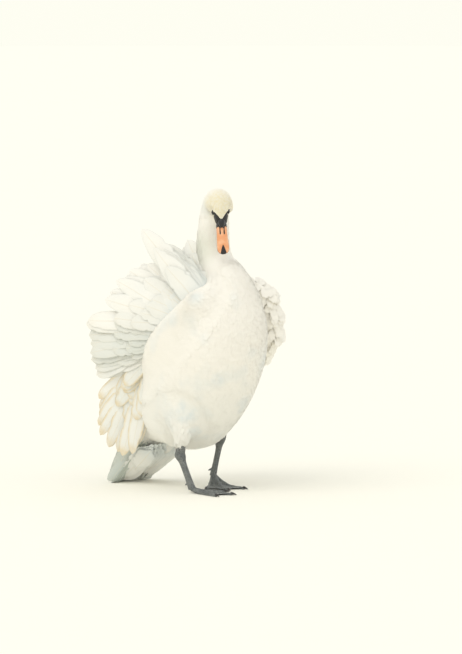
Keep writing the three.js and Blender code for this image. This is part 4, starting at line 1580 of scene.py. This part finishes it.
@dataclass(frozen=True)
class Quill:
    """One long feather: its root and its tip, which way its upper side faces and how it bends."""

    root: Array
    tip: Array
    face: Array
    width: float
    camber: float = 0.05
    curl: float = 0.0
    roll: float = 0.0
    sideways: float = 0.0
    point: float = 0.0
    warmth: float = 0.0
    # How much painted grey shade the feather's colour carries.
    shade: float = 0.0
    floor: float | None = None


@dataclass
class QuillSet:
    """Many long feathers made as one mesh."""

    rows: int = 30
    columns: int = 9
    thickness: float = 1.5
    seed: int = 5

    def outline(self, share: Array, point: float) -> Array:
        """Half width along a feather, as a share of its widest; point is one for a sharp tip."""
        stem = 0.16 + 0.84 * smooth(0.0, 0.26, share)
        start = 0.74 - 0.34 * point
        onward = np.clip((share - start) / (1 - start), 0, 1)
        tip = (1 - point) * np.sqrt(np.clip(1 - onward**2.6, 0, 1)) + point * (1 - onward**1.5)
        return stem * np.maximum(tip, 0.03)

    def one(self, quill: Quill, rng: np.random.Generator) -> Shape:
        """Makes one feather.

        Args:
            quill: its place and form.
            rng: where its splits, its ragged edge and the sway of its tip come from.

        Returns:
            A thin closed vane with a raised shaft, its Vane map and its marks.
        """
        rows, columns = self.rows, self.columns
        share = np.linspace(0, 1, rows) ** 0.92
        reach = quill.tip - quill.root
        length = float(np.linalg.norm(reach))
        along = reach / length
        side = unit(np.cross(along, quill.face))
        normal = np.cross(side, along)
        roll = math.radians(quill.roll)
        side = side * math.cos(roll) + normal * math.sin(roll)
        normal = np.cross(side, along)
        bow = quill.camber * 2 * (share - share**2) + quill.curl * smooth(0.5, 1.0, share) ** 1.6
        sway = quill.sideways * share**2 + rng.normal(0, 0.006) * np.sin(share * np.pi * 1.5)
        middle = quill.root + np.outer(share * length, along) + np.outer(bow * length, normal)
        middle = middle + np.outer(sway * length, side)
        across = np.linspace(-1, 1, columns)
        spread = np.sign(across) * np.abs(across) ** 0.9
        half = quill.width / 2 * self.outline(share, quill.point)[:, None]
        half = half * np.where(across < 0, 0.86, 1.0)[None, :]
        knots = np.linspace(0, 1, 9)
        ragged = np.column_stack([np.interp(share, knots, 1 + rng.normal(0, 0.03, 9)) for _ in range(2)])
        half = half * np.where(across[None, :] < 0, ragged[:, :1], ragged[:, 1:])
        for _ in range(rng.integers(1, 4)):
            place, hand = rng.uniform(0.45, 0.97), rng.choice([-1, 1])
            split = 0.16 * hump(share, place, 0.030)[:, None] * (across * hand > 0)[None, :]
            half = half * (1 - split)
        cup = 0.06 + 0.06 * rng.random()
        drop = -cup * np.abs(spread)[None, :] ** 2 * half * smooth(0.0, 0.3, share)[:, None]
        wave = rng.normal(0, 0.03) * np.sin(share * 7 + rng.uniform(0, 6))[:, None] * spread[None, :] * half
        top = middle[:, None] + (spread[None, :] * half)[..., None] * side + (drop + wave)[..., None] * normal
        body = self.thickness * (1 - 0.75 * share)[:, None] * (1 - np.abs(across) ** 3)[None, :]
        body = body + 1.3 * (1 - 0.8 * share)[:, None] * (np.abs(across) < 0.01)[None, :]
        below = top - (body + 0.02)[..., None] * normal
        ring = np.concatenate([top, below[:, 1:-1][:, ::-1]], 1)
        if quill.floor is not None:
            ground = quill.floor + 0.5 * (np.arange(ring.shape[1]) < columns)
            ring[..., 2] = np.maximum(ring[..., 2], ground)
        shape = lofted(ring)
        u = np.concatenate([across, across[1:-1][::-1]]) * 0.5 + 0.5
        spots = np.stack([np.tile(u, (rows, 1)), np.repeat(share[:, None], len(u), 1)], -1).reshape(-1, 2)
        shape.maps["Vane"] = np.vstack([spots, [[0.5, 0.0], [0.5, 1.0]]])
        for name, value in (("warmth", quill.warmth), ("shade", quill.shade)):
            shape.carrying(name, np.full(len(shape.points), value))
        return shape

    def build(self, name: str, quills: list[Quill], skin: Skin, finish: Material) -> Thing:
        """Makes every feather and sets each one's baking patch at its root's place on the skin's unwrap.

        Args:
            name: the piece's name.
            quills: the feathers.
            skin: the skin that they grow from.
            finish: their material.

        Returns:
            One mesh object of all the feathers.
        """
        rng = np.random.default_rng(self.seed + sum(map(ord, name)))
        shapes = [self.one(quill, rng) for quill in quills]
        spreads = np.concatenate([patch.spread for patch in skin.patches])
        roots = spreads[skin.nearest(np.array([quill.root for quill in quills]))][:, :2]
        for shape, root in zip(shapes, roots):
            shape.maps["OFBake"] = root + (shape.maps["Vane"] - 0.5) * ScatterTree.patch_width
        return shown(name, mesh_of(name, joined(shapes)), finish)


@dataclass(frozen=True)
class Tier:
    """One layer of a row: how many feathers, how far back they start, how long they are and how they sit."""

    count: int
    start: float
    length: float
    lift: float
    width: float
    curl: float
    jitter: float = 4.0


@dataclass(frozen=True)
class Row:
    """A row of the folded right wing, [root, tip] from its upper end; the left wing mirrors and splays it."""

    feathers: list[list[float]]
    width: float
    camber: float
    face: tuple[float, float, float]
    splay: tuple[float, float, float]
    tiers: list[Tier]
    point: float = 0.0
    warmth: float = 0.0
    # How much painted grey shade the row carries, most in its middle.
    shade: float = 0.0

    def quills(self, name: str, rng: np.random.Generator) -> list[Quill]:
        """Every feather of the row on one wing, longest tier first.

        Args:
            name: the side that the wing is on.
            rng: where the scatter of tips and bends comes from.

        Returns:
            The feathers.
        """
        mirror = 1.0 if name == "right" else -1.0
        offset = np.array(self.splay) * (name == "left")
        table = np.array(self.feathers, float) * [mirror, 1, 1, mirror, 1, 1] + np.tile(offset, 2)
        face = unit(np.array(self.face) * [mirror, 1, 1])
        found = []
        for tier in self.tiers:
            for number in range(tier.count):
                share = (number + 0.5 * (tier.length < 1)) / max(tier.count - 0.5, 1)
                spot = through(table, np.array(min(share, 1.0)))
                root, tip = spot[:3], spot[3:]
                reach = tip - root
                base = root + reach * tier.start + face * tier.lift * 0.4
                end = root + reach * min(tier.start + tier.length, 1.0) + face * tier.lift
                end = end + rng.normal(0, tier.jitter, 3)
                # Painted grey shade: most in the middle of the row, and more on its shorter tiers.
                quill = Quill(
                    base,
                    end,
                    face,
                    self.width * tier.width,
                    camber=self.camber * (0.7 + 0.6 * rng.random()),
                    curl=tier.curl * rng.uniform(0.3, 1.3),
                    roll=mirror * 7.0,
                    sideways=rng.normal(0, 0.02),
                    point=self.point * rng.uniform(0.5, 1.2),
                    warmth=self.warmth,
                    shade=self.shade * math.sin(math.pi * share) + 0.30 * (1 - tier.length),
                )
                found.append(quill)
        return found


# Tier(count, start, length, lift, width, curl, jitter), longest first
ROWS = {
    "scapulars": Row(
        feathers=[
            [-50, -66, 622, -34, 34, 752],
            [-76, -94, 598, -56, 50, 708],
            [-98, -102, 578, -82, 108, 742],
            [-104, -96, 560, -146, 128, 790],
        ],
        width=78,
        camber=0.07,
        face=(-0.68, -0.72, 0.12),
        splay=(-14, 26, -44),
        tiers=[
            Tier(9, 0, 1.0, 0, 1.0, 0.04, 6.0),
            Tier(9, 0.0, 0.76, 5, 1.0, 0.05),
            Tier(8, 0.0, 0.52, 9, 0.95, 0.05),
        ],
        point=0.7,
        shade=0.15,
    ),
    "tertials": Row(
        feathers=[
            [-114, -72, 564, -109, 125, 672],
            [-120, -60, 552, -138, 165, 662],
            [-124, -46, 538, -162, 186, 640],
            [-128, -32, 524, -187, 209, 580],
            [-130, -18, 512, -198, 220, 558],
        ],
        width=66,
        camber=0.07,
        face=(-0.75, -0.62, 0.2),
        splay=(16, 0, 0),
        tiers=[
            Tier(11, 0, 1.0, 0, 1.0, 0.05, 6.0),
            Tier(10, 0.0, 0.70, 5, 1.0, 0.05),
            Tier(9, 0.0, 0.46, 10, 0.9, 0.06),
        ],
        point=0.35,
    ),
    "secondaries": Row(
        feathers=[
            [-131, -6, 506, -223, 280, 508],
            [-134, 8, 490, -222, 284, 486],
            [-138, 36, 462, -218, 276, 408],
            [-138, 52, 446, -202, 276, 372],
            [-138, 68, 430, -180, 268, 338],
        ],
        width=62,
        camber=0.05,
        face=(-0.82, -0.5, 0.3),
        splay=(34, 0, 0),
        tiers=[
            Tier(13, 0, 1.0, 0, 1.0, 0.0, 5.0),
            Tier(12, 0.0, 0.66, 5, 1.0, 0.03),
            Tier(11, 0.0, 0.44, 10, 0.9, 0.04),
        ],
        point=0.12,
        warmth=0.1,
        shade=0.4,
    ),
    "primaries": Row(
        feathers=[
            [-138, 88, 408, -162, 296, 262],
            [-136, 102, 392, -158, 308, 204],
            [-132, 114, 378, -146, 304, 150],
            [-127, 122, 366, -128, 284, 108],
            [-124, 118, 356, -116, 236, 100],
            [-124, 106, 352, -110, 184, 136],
        ],
        width=52,
        camber=0.04,
        face=(-0.9, -0.4, 0),
        splay=(34, 0, 0),
        tiers=[
            Tier(12, 0, 1.0, 0, 1.0, 0.0, 4.0),
            Tier(11, 0.0, 0.62, 5, 1.0, 0.02),
            Tier(10, 0.0, 0.42, 9, 0.95, 0.03),
        ],
        point=0.25,
        warmth=0.8,
        shade=0.08,
    ),
}


@dataclass(frozen=True)
class Tail:
    """The wedge of tail feathers whose ends rest on the floor, with its coverts above and below."""

    count: int = 14
    root: tuple[float, float] = (206, 168)
    root_width: float = 26
    spread: float = 64
    reach: float = 356
    wedge: float = 20
    swing: float = -22
    width: float = 46
    pressed: float = 14

    def feathers(self) -> list[Quill]:
        """The tail's own feathers, each a little higher off the floor than another."""
        found = []
        for number, place in enumerate(np.linspace(-1, 1, self.count)):
            root = vec(place * self.root_width, *self.root)
            back = self.reach - self.wedge * place**2
            tip = vec(self.swing + place * self.spread, back, -self.pressed)
            face = unit(vec(0.25 * place, 0.7, 0.7))
            # Painted grey shade: full on most tail feathers, half on the bird's left side.
            form = {"camber": -0.05, "roll": 8 * np.sign(place), "warmth": 0.1}
            form |= {"shade": 1 - 0.5 * (place > 0.2), "floor": 0.1 + 0.17 * (number * 5 % self.count)}
            found.append(Quill(root, tip, face, self.width, **form))
        return found

    def coverts_above(self, rng: np.random.Generator) -> list[Quill]:
        """Two tiers of shorter feathers over the tail's root."""
        found = []
        for tier, (length, lift, count) in enumerate(((0.52, 12, 9), (0.34, 20, 8))):
            for place in np.linspace(-1, 1, count):
                root = np.array([place * 48, self.root[0] - 4, self.root[1] + lift * 0.6])
                tip = vec(self.swing * length + place * 60, self.reach - 40 * tier, 0)
                face = unit(vec(0.6 * place, 0.7, 0.7))
                end = root + (tip - root) * length + face * lift + rng.normal(0, 4, 3)
                # A little painted grey shade.
                found.append(Quill(root, end, face, 44, curl=0.03, roll=8 * np.sign(place), shade=0.1))
        return found

    def strips(self, rng: np.random.Generator) -> list[Quill]:
        """The strip on each side, grey with painted shade, stacked from the tail's edge up to the body."""
        found = []
        for side, edge in ((-1.0, -84.0), (1.0, 40.0)):
            for number, place in enumerate(np.linspace(0, 1, 7)):
                root = vec(side * (44 + 24 * place), 190 - 8 * place, 186 + 34 * place)
                tip = vec(edge - side * 10 * place, 346 - 34 * place, -6 + 76 * place)
                face = unit(vec(side * 0.75, -0.35, -0.1))
                end = tip + rng.normal(0, 2, 3)
                form = {"camber": 0.03, "roll": -5 * side, "warmth": 0.05, "shade": 0.5 - 0.3 * side}
                found.append(Quill(root, end, face, 48, **form, floor=2.6 + 0.17 * number))
        return found

    def coverts_below(self, rng: np.random.Generator) -> list[Quill]:
        """Three tiers of broad white feathers under the tail."""
        found = []
        for tier, (length, drop, count) in enumerate(((0.97, 4, 8), (0.74, 12, 7), (0.50, 20, 8))):
            for number, place in enumerate(np.linspace(-1, 1, count)):
                root = vec(6 + place * 56, 182 + 4 * tier, 124 - 9 * tier)
                tip = vec(self.swing * 0.6 + 12 + place * 56, 344 - 12 * place**2, 2)
                face = unit(vec(0.35 * place - 0.3, -0.6, -0.6))
                reach = (tip - root) * length * rng.uniform(0.88, 1.0 if tier == 0 else 1.14)
                end = root + reach + face * drop * 0.4 + rng.normal(0, 4, 3)
                # Painted grey shade grows on the shorter tiers.
                form = {"camber": 0.04, "point": 0.3, "shade": 0.05 * tier, "floor": 4.0 + 0.17 * number}
                found.append(Quill(root, end, face, 62, **form))
        return found

    def vent(self, rng: np.random.Generator) -> list[Quill]:
        """Soft feathers between the thigh and the tail."""
        found = []
        for place in np.linspace(0, 1, 9):
            root = vec(14 - 72 * place, 158 + 14 * place, 134 + 46 * place)
            end = root + [-8, 66, -44] + rng.normal(0, 5, 3)
            face = unit(vec(-0.55, -0.45, -0.7))
            found.append(Quill(root, end, face, 44, camber=0.06, curl=0.05, point=0.4))
        return found

    def quills(self, rng: np.random.Generator) -> list[Quill]:
        """Every feather of the tail."""
        below = (self.coverts_above, self.strips, self.coverts_below, self.vent)
        return self.feathers() + [quill for group in below for quill in group(rng)]


# ---- Bill, eyes and claws ----

# Upper half of the bill: [forward of the eyes, half width, ridge height, edge height]
BILL = [
    [24, 12, 4, -12],
    [36, 15.6, 8, -16.3],
    [48, 15.8, 4, -18],
    [62, 15.8, -1, -19.5],
    [80, 16.6, -7, -21.5],
    [98, 17.6, -12.5, -23.5],
    [110, 17.0, -16, -25],
    [118, 13.2, -18.6, -26],
    [123.3, 5, -22, -26.4],
]


@dataclass
class Bill:
    """The orange bill: upper half with nostrils and nail, lower half, and the black knob at its root."""

    rows: int = 190
    sides: int = 96
    knob_place: tuple[float, float] = (36, 8.6)
    knob_size: tuple[float, float, float] = (15, 9.5, 11)
    nostril_place: tuple[float, float] = (62, 0.38)
    nail_apex: float = 97.0
    nail_length: float = 26.0
    nail_width: float = 9.5

    def nail_mask(self, forward: Array, left: Array, spare: float = 0.0) -> Array:
        """One on the nail, a shield that widens to the tip; spare widens its outline by some millimetres."""
        share = np.clip((forward - self.nail_apex + spare) / self.nail_length, 0, 1)
        half = self.nail_width * share**0.75 + spare * (share > 0)
        return smooth(1.1, -1.1, np.abs(left) - half) * smooth(0.0, 0.05, share)

    def upper(self) -> Shape:
        """The upper half, whose ridge, nostrils, edges and nail are part of its surface."""
        table = np.array(BILL, float)
        share = np.linspace(0, 1, self.rows) ** 0.9
        forward, width, ridge, edge = through(table, share).T
        angle = full_turn(self.sides)[None]
        sine, cosine = np.sin(angle), np.cos(angle)
        roof = np.abs(sine) ** 0.86 * (ridge - edge)[:, None]
        palate = 2.2 * np.abs(sine) * (1 - 1.4 * np.abs(sine))
        arch = np.where(sine > 0, roof, palate)
        left = width[:, None] * np.sign(cosine) * np.abs(cosine) ** 0.82
        height = edge[:, None] + arch
        ahead = np.repeat(forward[:, None], self.sides, 1)
        upper_side = (sine > 0).astype(float)
        nail = self.nail_mask(ahead, left) * upper_side
        rim = self.nail_mask(ahead, left, 1.6) * (1 - nail)
        spot = ahead - self.nostril_place[0]
        level = np.abs(left) / width[:, None] - self.nostril_place[1]
        nostril = np.exp(-((spot / 6.2) ** 4)) * np.exp(-((level / 0.12) ** 2)) * upper_side
        brow = np.exp(-(((spot + 1) / 9.5) ** 4)) * np.exp(-(((level + 0.24) / 0.13) ** 2)) * upper_side
        flute = hump(level, 0.30, 0.14) * smooth(46, 60, ahead) * smooth(112, 98, ahead) * upper_side
        out = 0.9 * nail - 0.5 * rim * upper_side - 2.4 * nostril + 0.55 * brow - 0.5 * flute
        lip = hump(height - edge[:, None], 0.6, 1.5) * upper_side
        left = left * (1 + 0.03 * lip)
        crest = smooth(0.5, -0.5, ahead - 46 - 22 * hump(level, 0.0, 0.10))
        side_root = smooth(37, 34, ahead)
        edge_line = smooth(2.6, 1.2, height - edge[:, None])
        dark = np.max([nail, nostril * 1.5, crest, side_root, edge_line * 0.92], axis=0)
        shape = lofted(HEAD_AXES.point(ahead, left, height + out))
        return shape.carrying("dark", np.clip(dark, 0, 1), 1.0, 1.0)

    def lower(self) -> Shape:
        """The lower half, tucked just inside the upper one, with its row of fine plates along the edge."""
        table = np.array(BILL, float)
        rows, sides = 150, 40
        share = np.linspace(0, 1, rows)
        forward = 29 + (117.5 - 29) * share
        width = np.interp(forward, table[:, 0], table[:, 1]) - 1.7
        edge = np.interp(forward, table[:, 0], table[:, 3]) - 0.4
        narrow = np.sqrt(np.clip(1 - np.clip((share - 0.8) / 0.2, 0, 1) ** 2, 0.05, 1))
        angle = full_turn(sides)[None]
        depth = (8.4 * (1 - 0.55 * share))[:, None]
        keel = 1 - 0.25 * hump(np.cos(angle), 0, 0.3)
        high = np.where(np.sin(angle) > 0, 0.3, depth * keel) * np.sin(angle)
        plates = 1 + 0.02 * np.sin(forward * 2.6)[:, None] * (np.abs(np.sin(angle)) < 0.35)
        left = (width * narrow)[:, None] * np.cos(angle) * plates
        ahead = np.repeat(forward[:, None], sides, 1)
        shape = lofted(HEAD_AXES.point(ahead, left, edge[:, None] + high))
        length = np.sqrt(np.clip(1 - np.abs((ahead - 78) / 30) ** 3, 0, 1))
        side_patch = smooth(0.35, 0.65, length * hump(np.abs(np.cos(angle)), 0.78, 0.40))
        side_patch = side_patch * smooth(-0.08, -0.26, np.sin(angle))
        return shape.carrying("dark", 1 - 0.9 * side_patch, 1.0, 1.0)

    def knob(self) -> Shape:
        """The knob: a bulb that leans forward, split into two low lobes in front."""
        length, width, depth = self.knob_size
        rows, sides = 56, 64
        along = -np.cos(np.linspace(0.02, np.pi - 0.02, rows))[:, None]
        angle = full_turn(sides)[None]
        radius = np.sqrt(1 - along**2)
        full = 1 + 0.10 * hump(along, -0.35, 0.5) - 0.12 * smooth(0.2, 1.0, along)
        ahead = self.knob_place[0] + length * along * (1 + 0.04 * np.cos(angle * 2))
        left = width * radius * full * np.cos(angle)
        high = depth * radius * full * np.sin(angle)
        cleft = -1.5 * hump(left, 0, 2.2) * smooth(0.25, 0.7, along) * (np.sin(angle) > 0)
        wrinkle = 0.22 * np.sin(9 * angle + 3 * along) * radius * smooth(0.4, -0.6, along)
        shape = lofted(HEAD_AXES.point(ahead, left, self.knob_place[1] + high + cleft + wrinkle))
        return shape.carrying("dark", np.ones(len(shape.points)))

    def build(self, finish: Material) -> list[tuple[Thing, list[str], str]]:
        """Makes the three pieces.

        Args:
            finish: the bill's material.

        Returns:
            Each piece with the nodes that it replaces and its slot.
        """
        made = []
        for name, shape, nodes, slot in (
            ("upper_bill", self.upper(), ["bill_upper", "bill_nail"], "bill_orange"),
            ("lower_bill", self.lower(), ["bill_lower"], "bill_black"),
            ("forehead_knob", self.knob(), ["bill_knob"], "bill_black"),
        ):
            made.append((shown(name, mesh_of(name, shape), finish), nodes, slot))
        return made


@dataclass(frozen=True)
class Eye:
    """One eyeball with a clear bulge in front."""

    radius: float = 5.7
    bulge: float = 0.4
    inset: float = 0.2

    def build(self, name: str, finish: Material) -> Thing:
        """Makes the ball, whose points carry how far off the line of sight they are.

        Args:
            name: the side that the eye is on.
            finish: its material.

        Returns:
            The eyeball.
        """
        rows, sides = 48, 64
        polar = np.linspace(0.01, np.pi - 0.01, rows)[:, None]
        angle = full_turn(sides)[None]
        reach = self.radius + self.bulge * np.exp(-((polar / 0.75) ** 2))
        forward = EYE_FORWARD + reach * np.sin(polar) * np.cos(angle)
        height = EYE_HEIGHT + reach * np.sin(polar) * np.sin(angle)
        left = SIDES[name] * (EYE_APART / 2 - self.inset + reach * np.cos(polar) * np.ones_like(angle))
        shape = lofted(HEAD_AXES.point(forward, left, height))
        shape.carrying("off_axis", np.repeat(polar, sides), 0.0, np.pi)
        return shown(f"eyeball_{name}", mesh_of(f"eyeball_{name}", shape), finish)


@dataclass(frozen=True)
class Claw:
    """One claw: a blunt horn that curves down to the floor, hollowed a little below."""

    rows: int = 26
    sides: int = 20

    def build(self, toe: str, name: str, finish: Material) -> Thing:
        """Makes the claw of one toe.

        Args:
            toe: the toe's name.
            name: the side that the foot is on.
            finish: the claw's material.

        Returns:
            The claw.
        """
        leg = LEGS[name]
        tip, before = leg.toe_point(toe, 1.0), leg.toe_point(toe, 0.95)
        along = unit((tip - before) * [1, 1, 0])
        share = np.linspace(-0.3, 1.0, self.rows)
        onward = np.maximum(share, 0)
        points = tip[:2] + np.outer(share * CLAW_LENGTH, along[:2])
        height = CLAW_RADIUS + 1.2 - 3.3 * onward**2
        centres = np.column_stack([points, height])
        radius = CLAW_RADIUS * np.sqrt(np.clip(1 - onward, 0.015, 1)) * (1 - 0.15 * onward)
        side = unit(np.cross(along, UP))
        angle = full_turn(self.sides)
        ridge = 1 + 0.12 * hump(np.sin(angle), 1, 0.25)
        rings = centres[:, None] + (radius[:, None] * np.cos(angle)[None] * 0.82)[..., None] * side
        rings = rings + (radius[:, None] * (np.sin(angle) * ridge)[None])[..., None] * UP
        shape = lofted(on_floor(rings)).carrying("tip", np.repeat(onward, self.sides), 0.0, 1.0)
        piece = f"horn_{toe}_{name}"
        return shown(piece, mesh_of(piece, shape), finish)


# ---- Studio ----


@dataclass(frozen=True)
class Studio:
    """Camera, light and a pale floor. Lengths are metres and angles are degrees."""

    azimuth: float = -42.0
    elevation: float = 4.2
    distance: float = 12.0
    aim: tuple[float, float, float] = (0.041, -0.124, 0.490)
    seen_height: float = 1.962
    sensor: float = 36.0
    floor_reach: float = 400.0
    sky_tone: Colour = (0.95, 0.955, 0.94)
    backdrop: Colour = (0.995, 0.99, 0.885)
    key_place: tuple[float, float] = (-86, 50)
    key_strength: float = 0.62
    key_softness: float = 45
    key_tone: Colour = (1.0, 0.97, 0.90)

    def towards(self, azimuth: float, elevation: float) -> Vector:
        """The direction from the bird to an azimuth and an elevation round it."""
        turn, rise = math.radians(azimuth), math.radians(elevation)
        return Vector((math.sin(turn) * math.cos(rise), -math.cos(turn) * math.cos(rise), math.sin(rise)))

    def camera(self) -> None:
        """Makes the camera and gives it to the scene."""
        data = bpy.data.cameras.new("view")
        data.sensor_width = self.sensor
        data.lens = self.sensor * self.distance / self.seen_height
        data.clip_end = 1000
        camera = bpy.data.objects.new("view", data)
        back = self.towards(self.azimuth, self.elevation)
        camera.location = Vector(self.aim) + back * self.distance
        camera.rotation_euler = (-back).to_track_quat("-Z", "Y").to_euler()
        bpy.context.scene.collection.objects.link(camera)
        bpy.context.scene.camera = camera

    def key(self) -> None:
        """Makes the one soft distant light."""
        data = bpy.data.lights.new("key", "SUN")
        data.energy = self.key_strength
        data.angle = math.radians(self.key_softness)
        data.color = self.key_tone
        lamp = bpy.data.objects.new("key", data)
        lamp.rotation_euler = (-self.towards(*self.key_place)).to_track_quat("-Z", "Y").to_euler()
        bpy.context.scene.collection.objects.link(lamp)

    def floor(self) -> None:
        """Makes a wide round floor, a hair below the soles."""
        sides = 96
        turn = full_turn(sides)
        reach = np.outer([1.0, self.floor_reach / 4, self.floor_reach], np.ones(sides))
        rings = np.stack([reach * np.cos(turn), reach * np.sin(turn), np.full_like(reach, -0.0002)], -1)
        quads = ring_faces(len(reach), sides)[0]
        shape = Shape(rings.reshape(-1, 3), [quads[:, ::-1], np.arange(sides)[None]])
        plane = shown("studio_floor", mesh_of("studio_floor", shape, shift=False), Paper().material())

    def sky(self) -> None:
        """Lights the scene evenly from all round."""
        world = bpy.data.worlds.new("studio")
        world.use_nodes = True
        world.node_tree.nodes.clear()
        graph = Graph(world.node_tree)
        seen = graph.value("ShaderNodeLightPath", "Is Camera Ray")
        lit = graph.node("ShaderNodeBackground", None, {"Color": (*self.sky_tone, 1), "Strength": 1.0})
        backdrop = graph.node("ShaderNodeBackground", None, {"Color": (*self.backdrop, 1), "Strength": 1.0})
        both = graph.node("ShaderNodeMixShader", None, {0: seen, 1: lit.outputs[0], 2: backdrop.outputs[0]})
        graph.node("ShaderNodeOutputWorld", None, {0: both.outputs[0]})
        bpy.context.scene.world = world

    def build(self) -> None:
        """Makes sky, light and floor."""
        self.sky()
        self.key()
        self.floor()
        view = bpy.context.scene.view_settings
        view.view_transform = "Standard"
        view.look = "None"


# ---- The whole bird ----


def handed_in(piece: Thing, nodes: list[str]) -> None:
    """Says what a finished piece rides on and stands for, and logs its triangles."""
    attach(piece, BODY_NAME)
    if nodes:
        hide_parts(*nodes)
    triangles = sum(len(face.vertices) - 2 for face in piece.data.polygons)
    LOG.info("%s: %d triangles", piece.name, triangles)


def main() -> None:
    """Builds the swan piece by piece."""
    logging.basicConfig(level=logging.INFO, format="%(message)s")
    studio = Studio()
    studio.camera()
    plumage = Plumage()
    skin = Skin()
    mesh = skin.build()
    kits = {kind: feather_kit(kind) for kind in Feather}
    down = plumage.down("swan_down")
    scatter = ScatterTree()
    for layer in COAT_LAYERS:
        coat = scatter.grown(f"coat_{layer.part}", mesh, layer, kits[layer.kind], down)
        handed_in(coat, [])
    body = shown("swan_skin", mesh, plumage.skin())
    handed_in(body, FLESH)
    vanes = plumage.quills()
    rng = np.random.default_rng(29)
    quills = QuillSet()
    for row_name, row in ROWS.items():
        for name in SIDES:
            piece = quills.build(f"quills_{row_name}_{name}", row.quills(name, rng), skin, vanes)
            handed_in(piece, [f"{row_name}_{name}"])
    tail = Tail().quills(np.random.default_rng(12))
    handed_in(quills.build("quills_tail", tail, skin, vanes), ["tail"])
    horn = BillHorn().material()
    for piece, nodes, slot in Bill().build(horn):
        handed_in(piece, nodes)
    glaze, claws = EyeGlaze().material(), Horn().material()
    for name in SIDES:
        handed_in(Eye().build(name, glaze), [f"eye_{name}"])
        for toe in TOES:
            handed_in(Claw().build(toe, name, claws), [f"claw_{toe}_{name}"])
    studio.build()


if __name__ == "__main__":
    main()
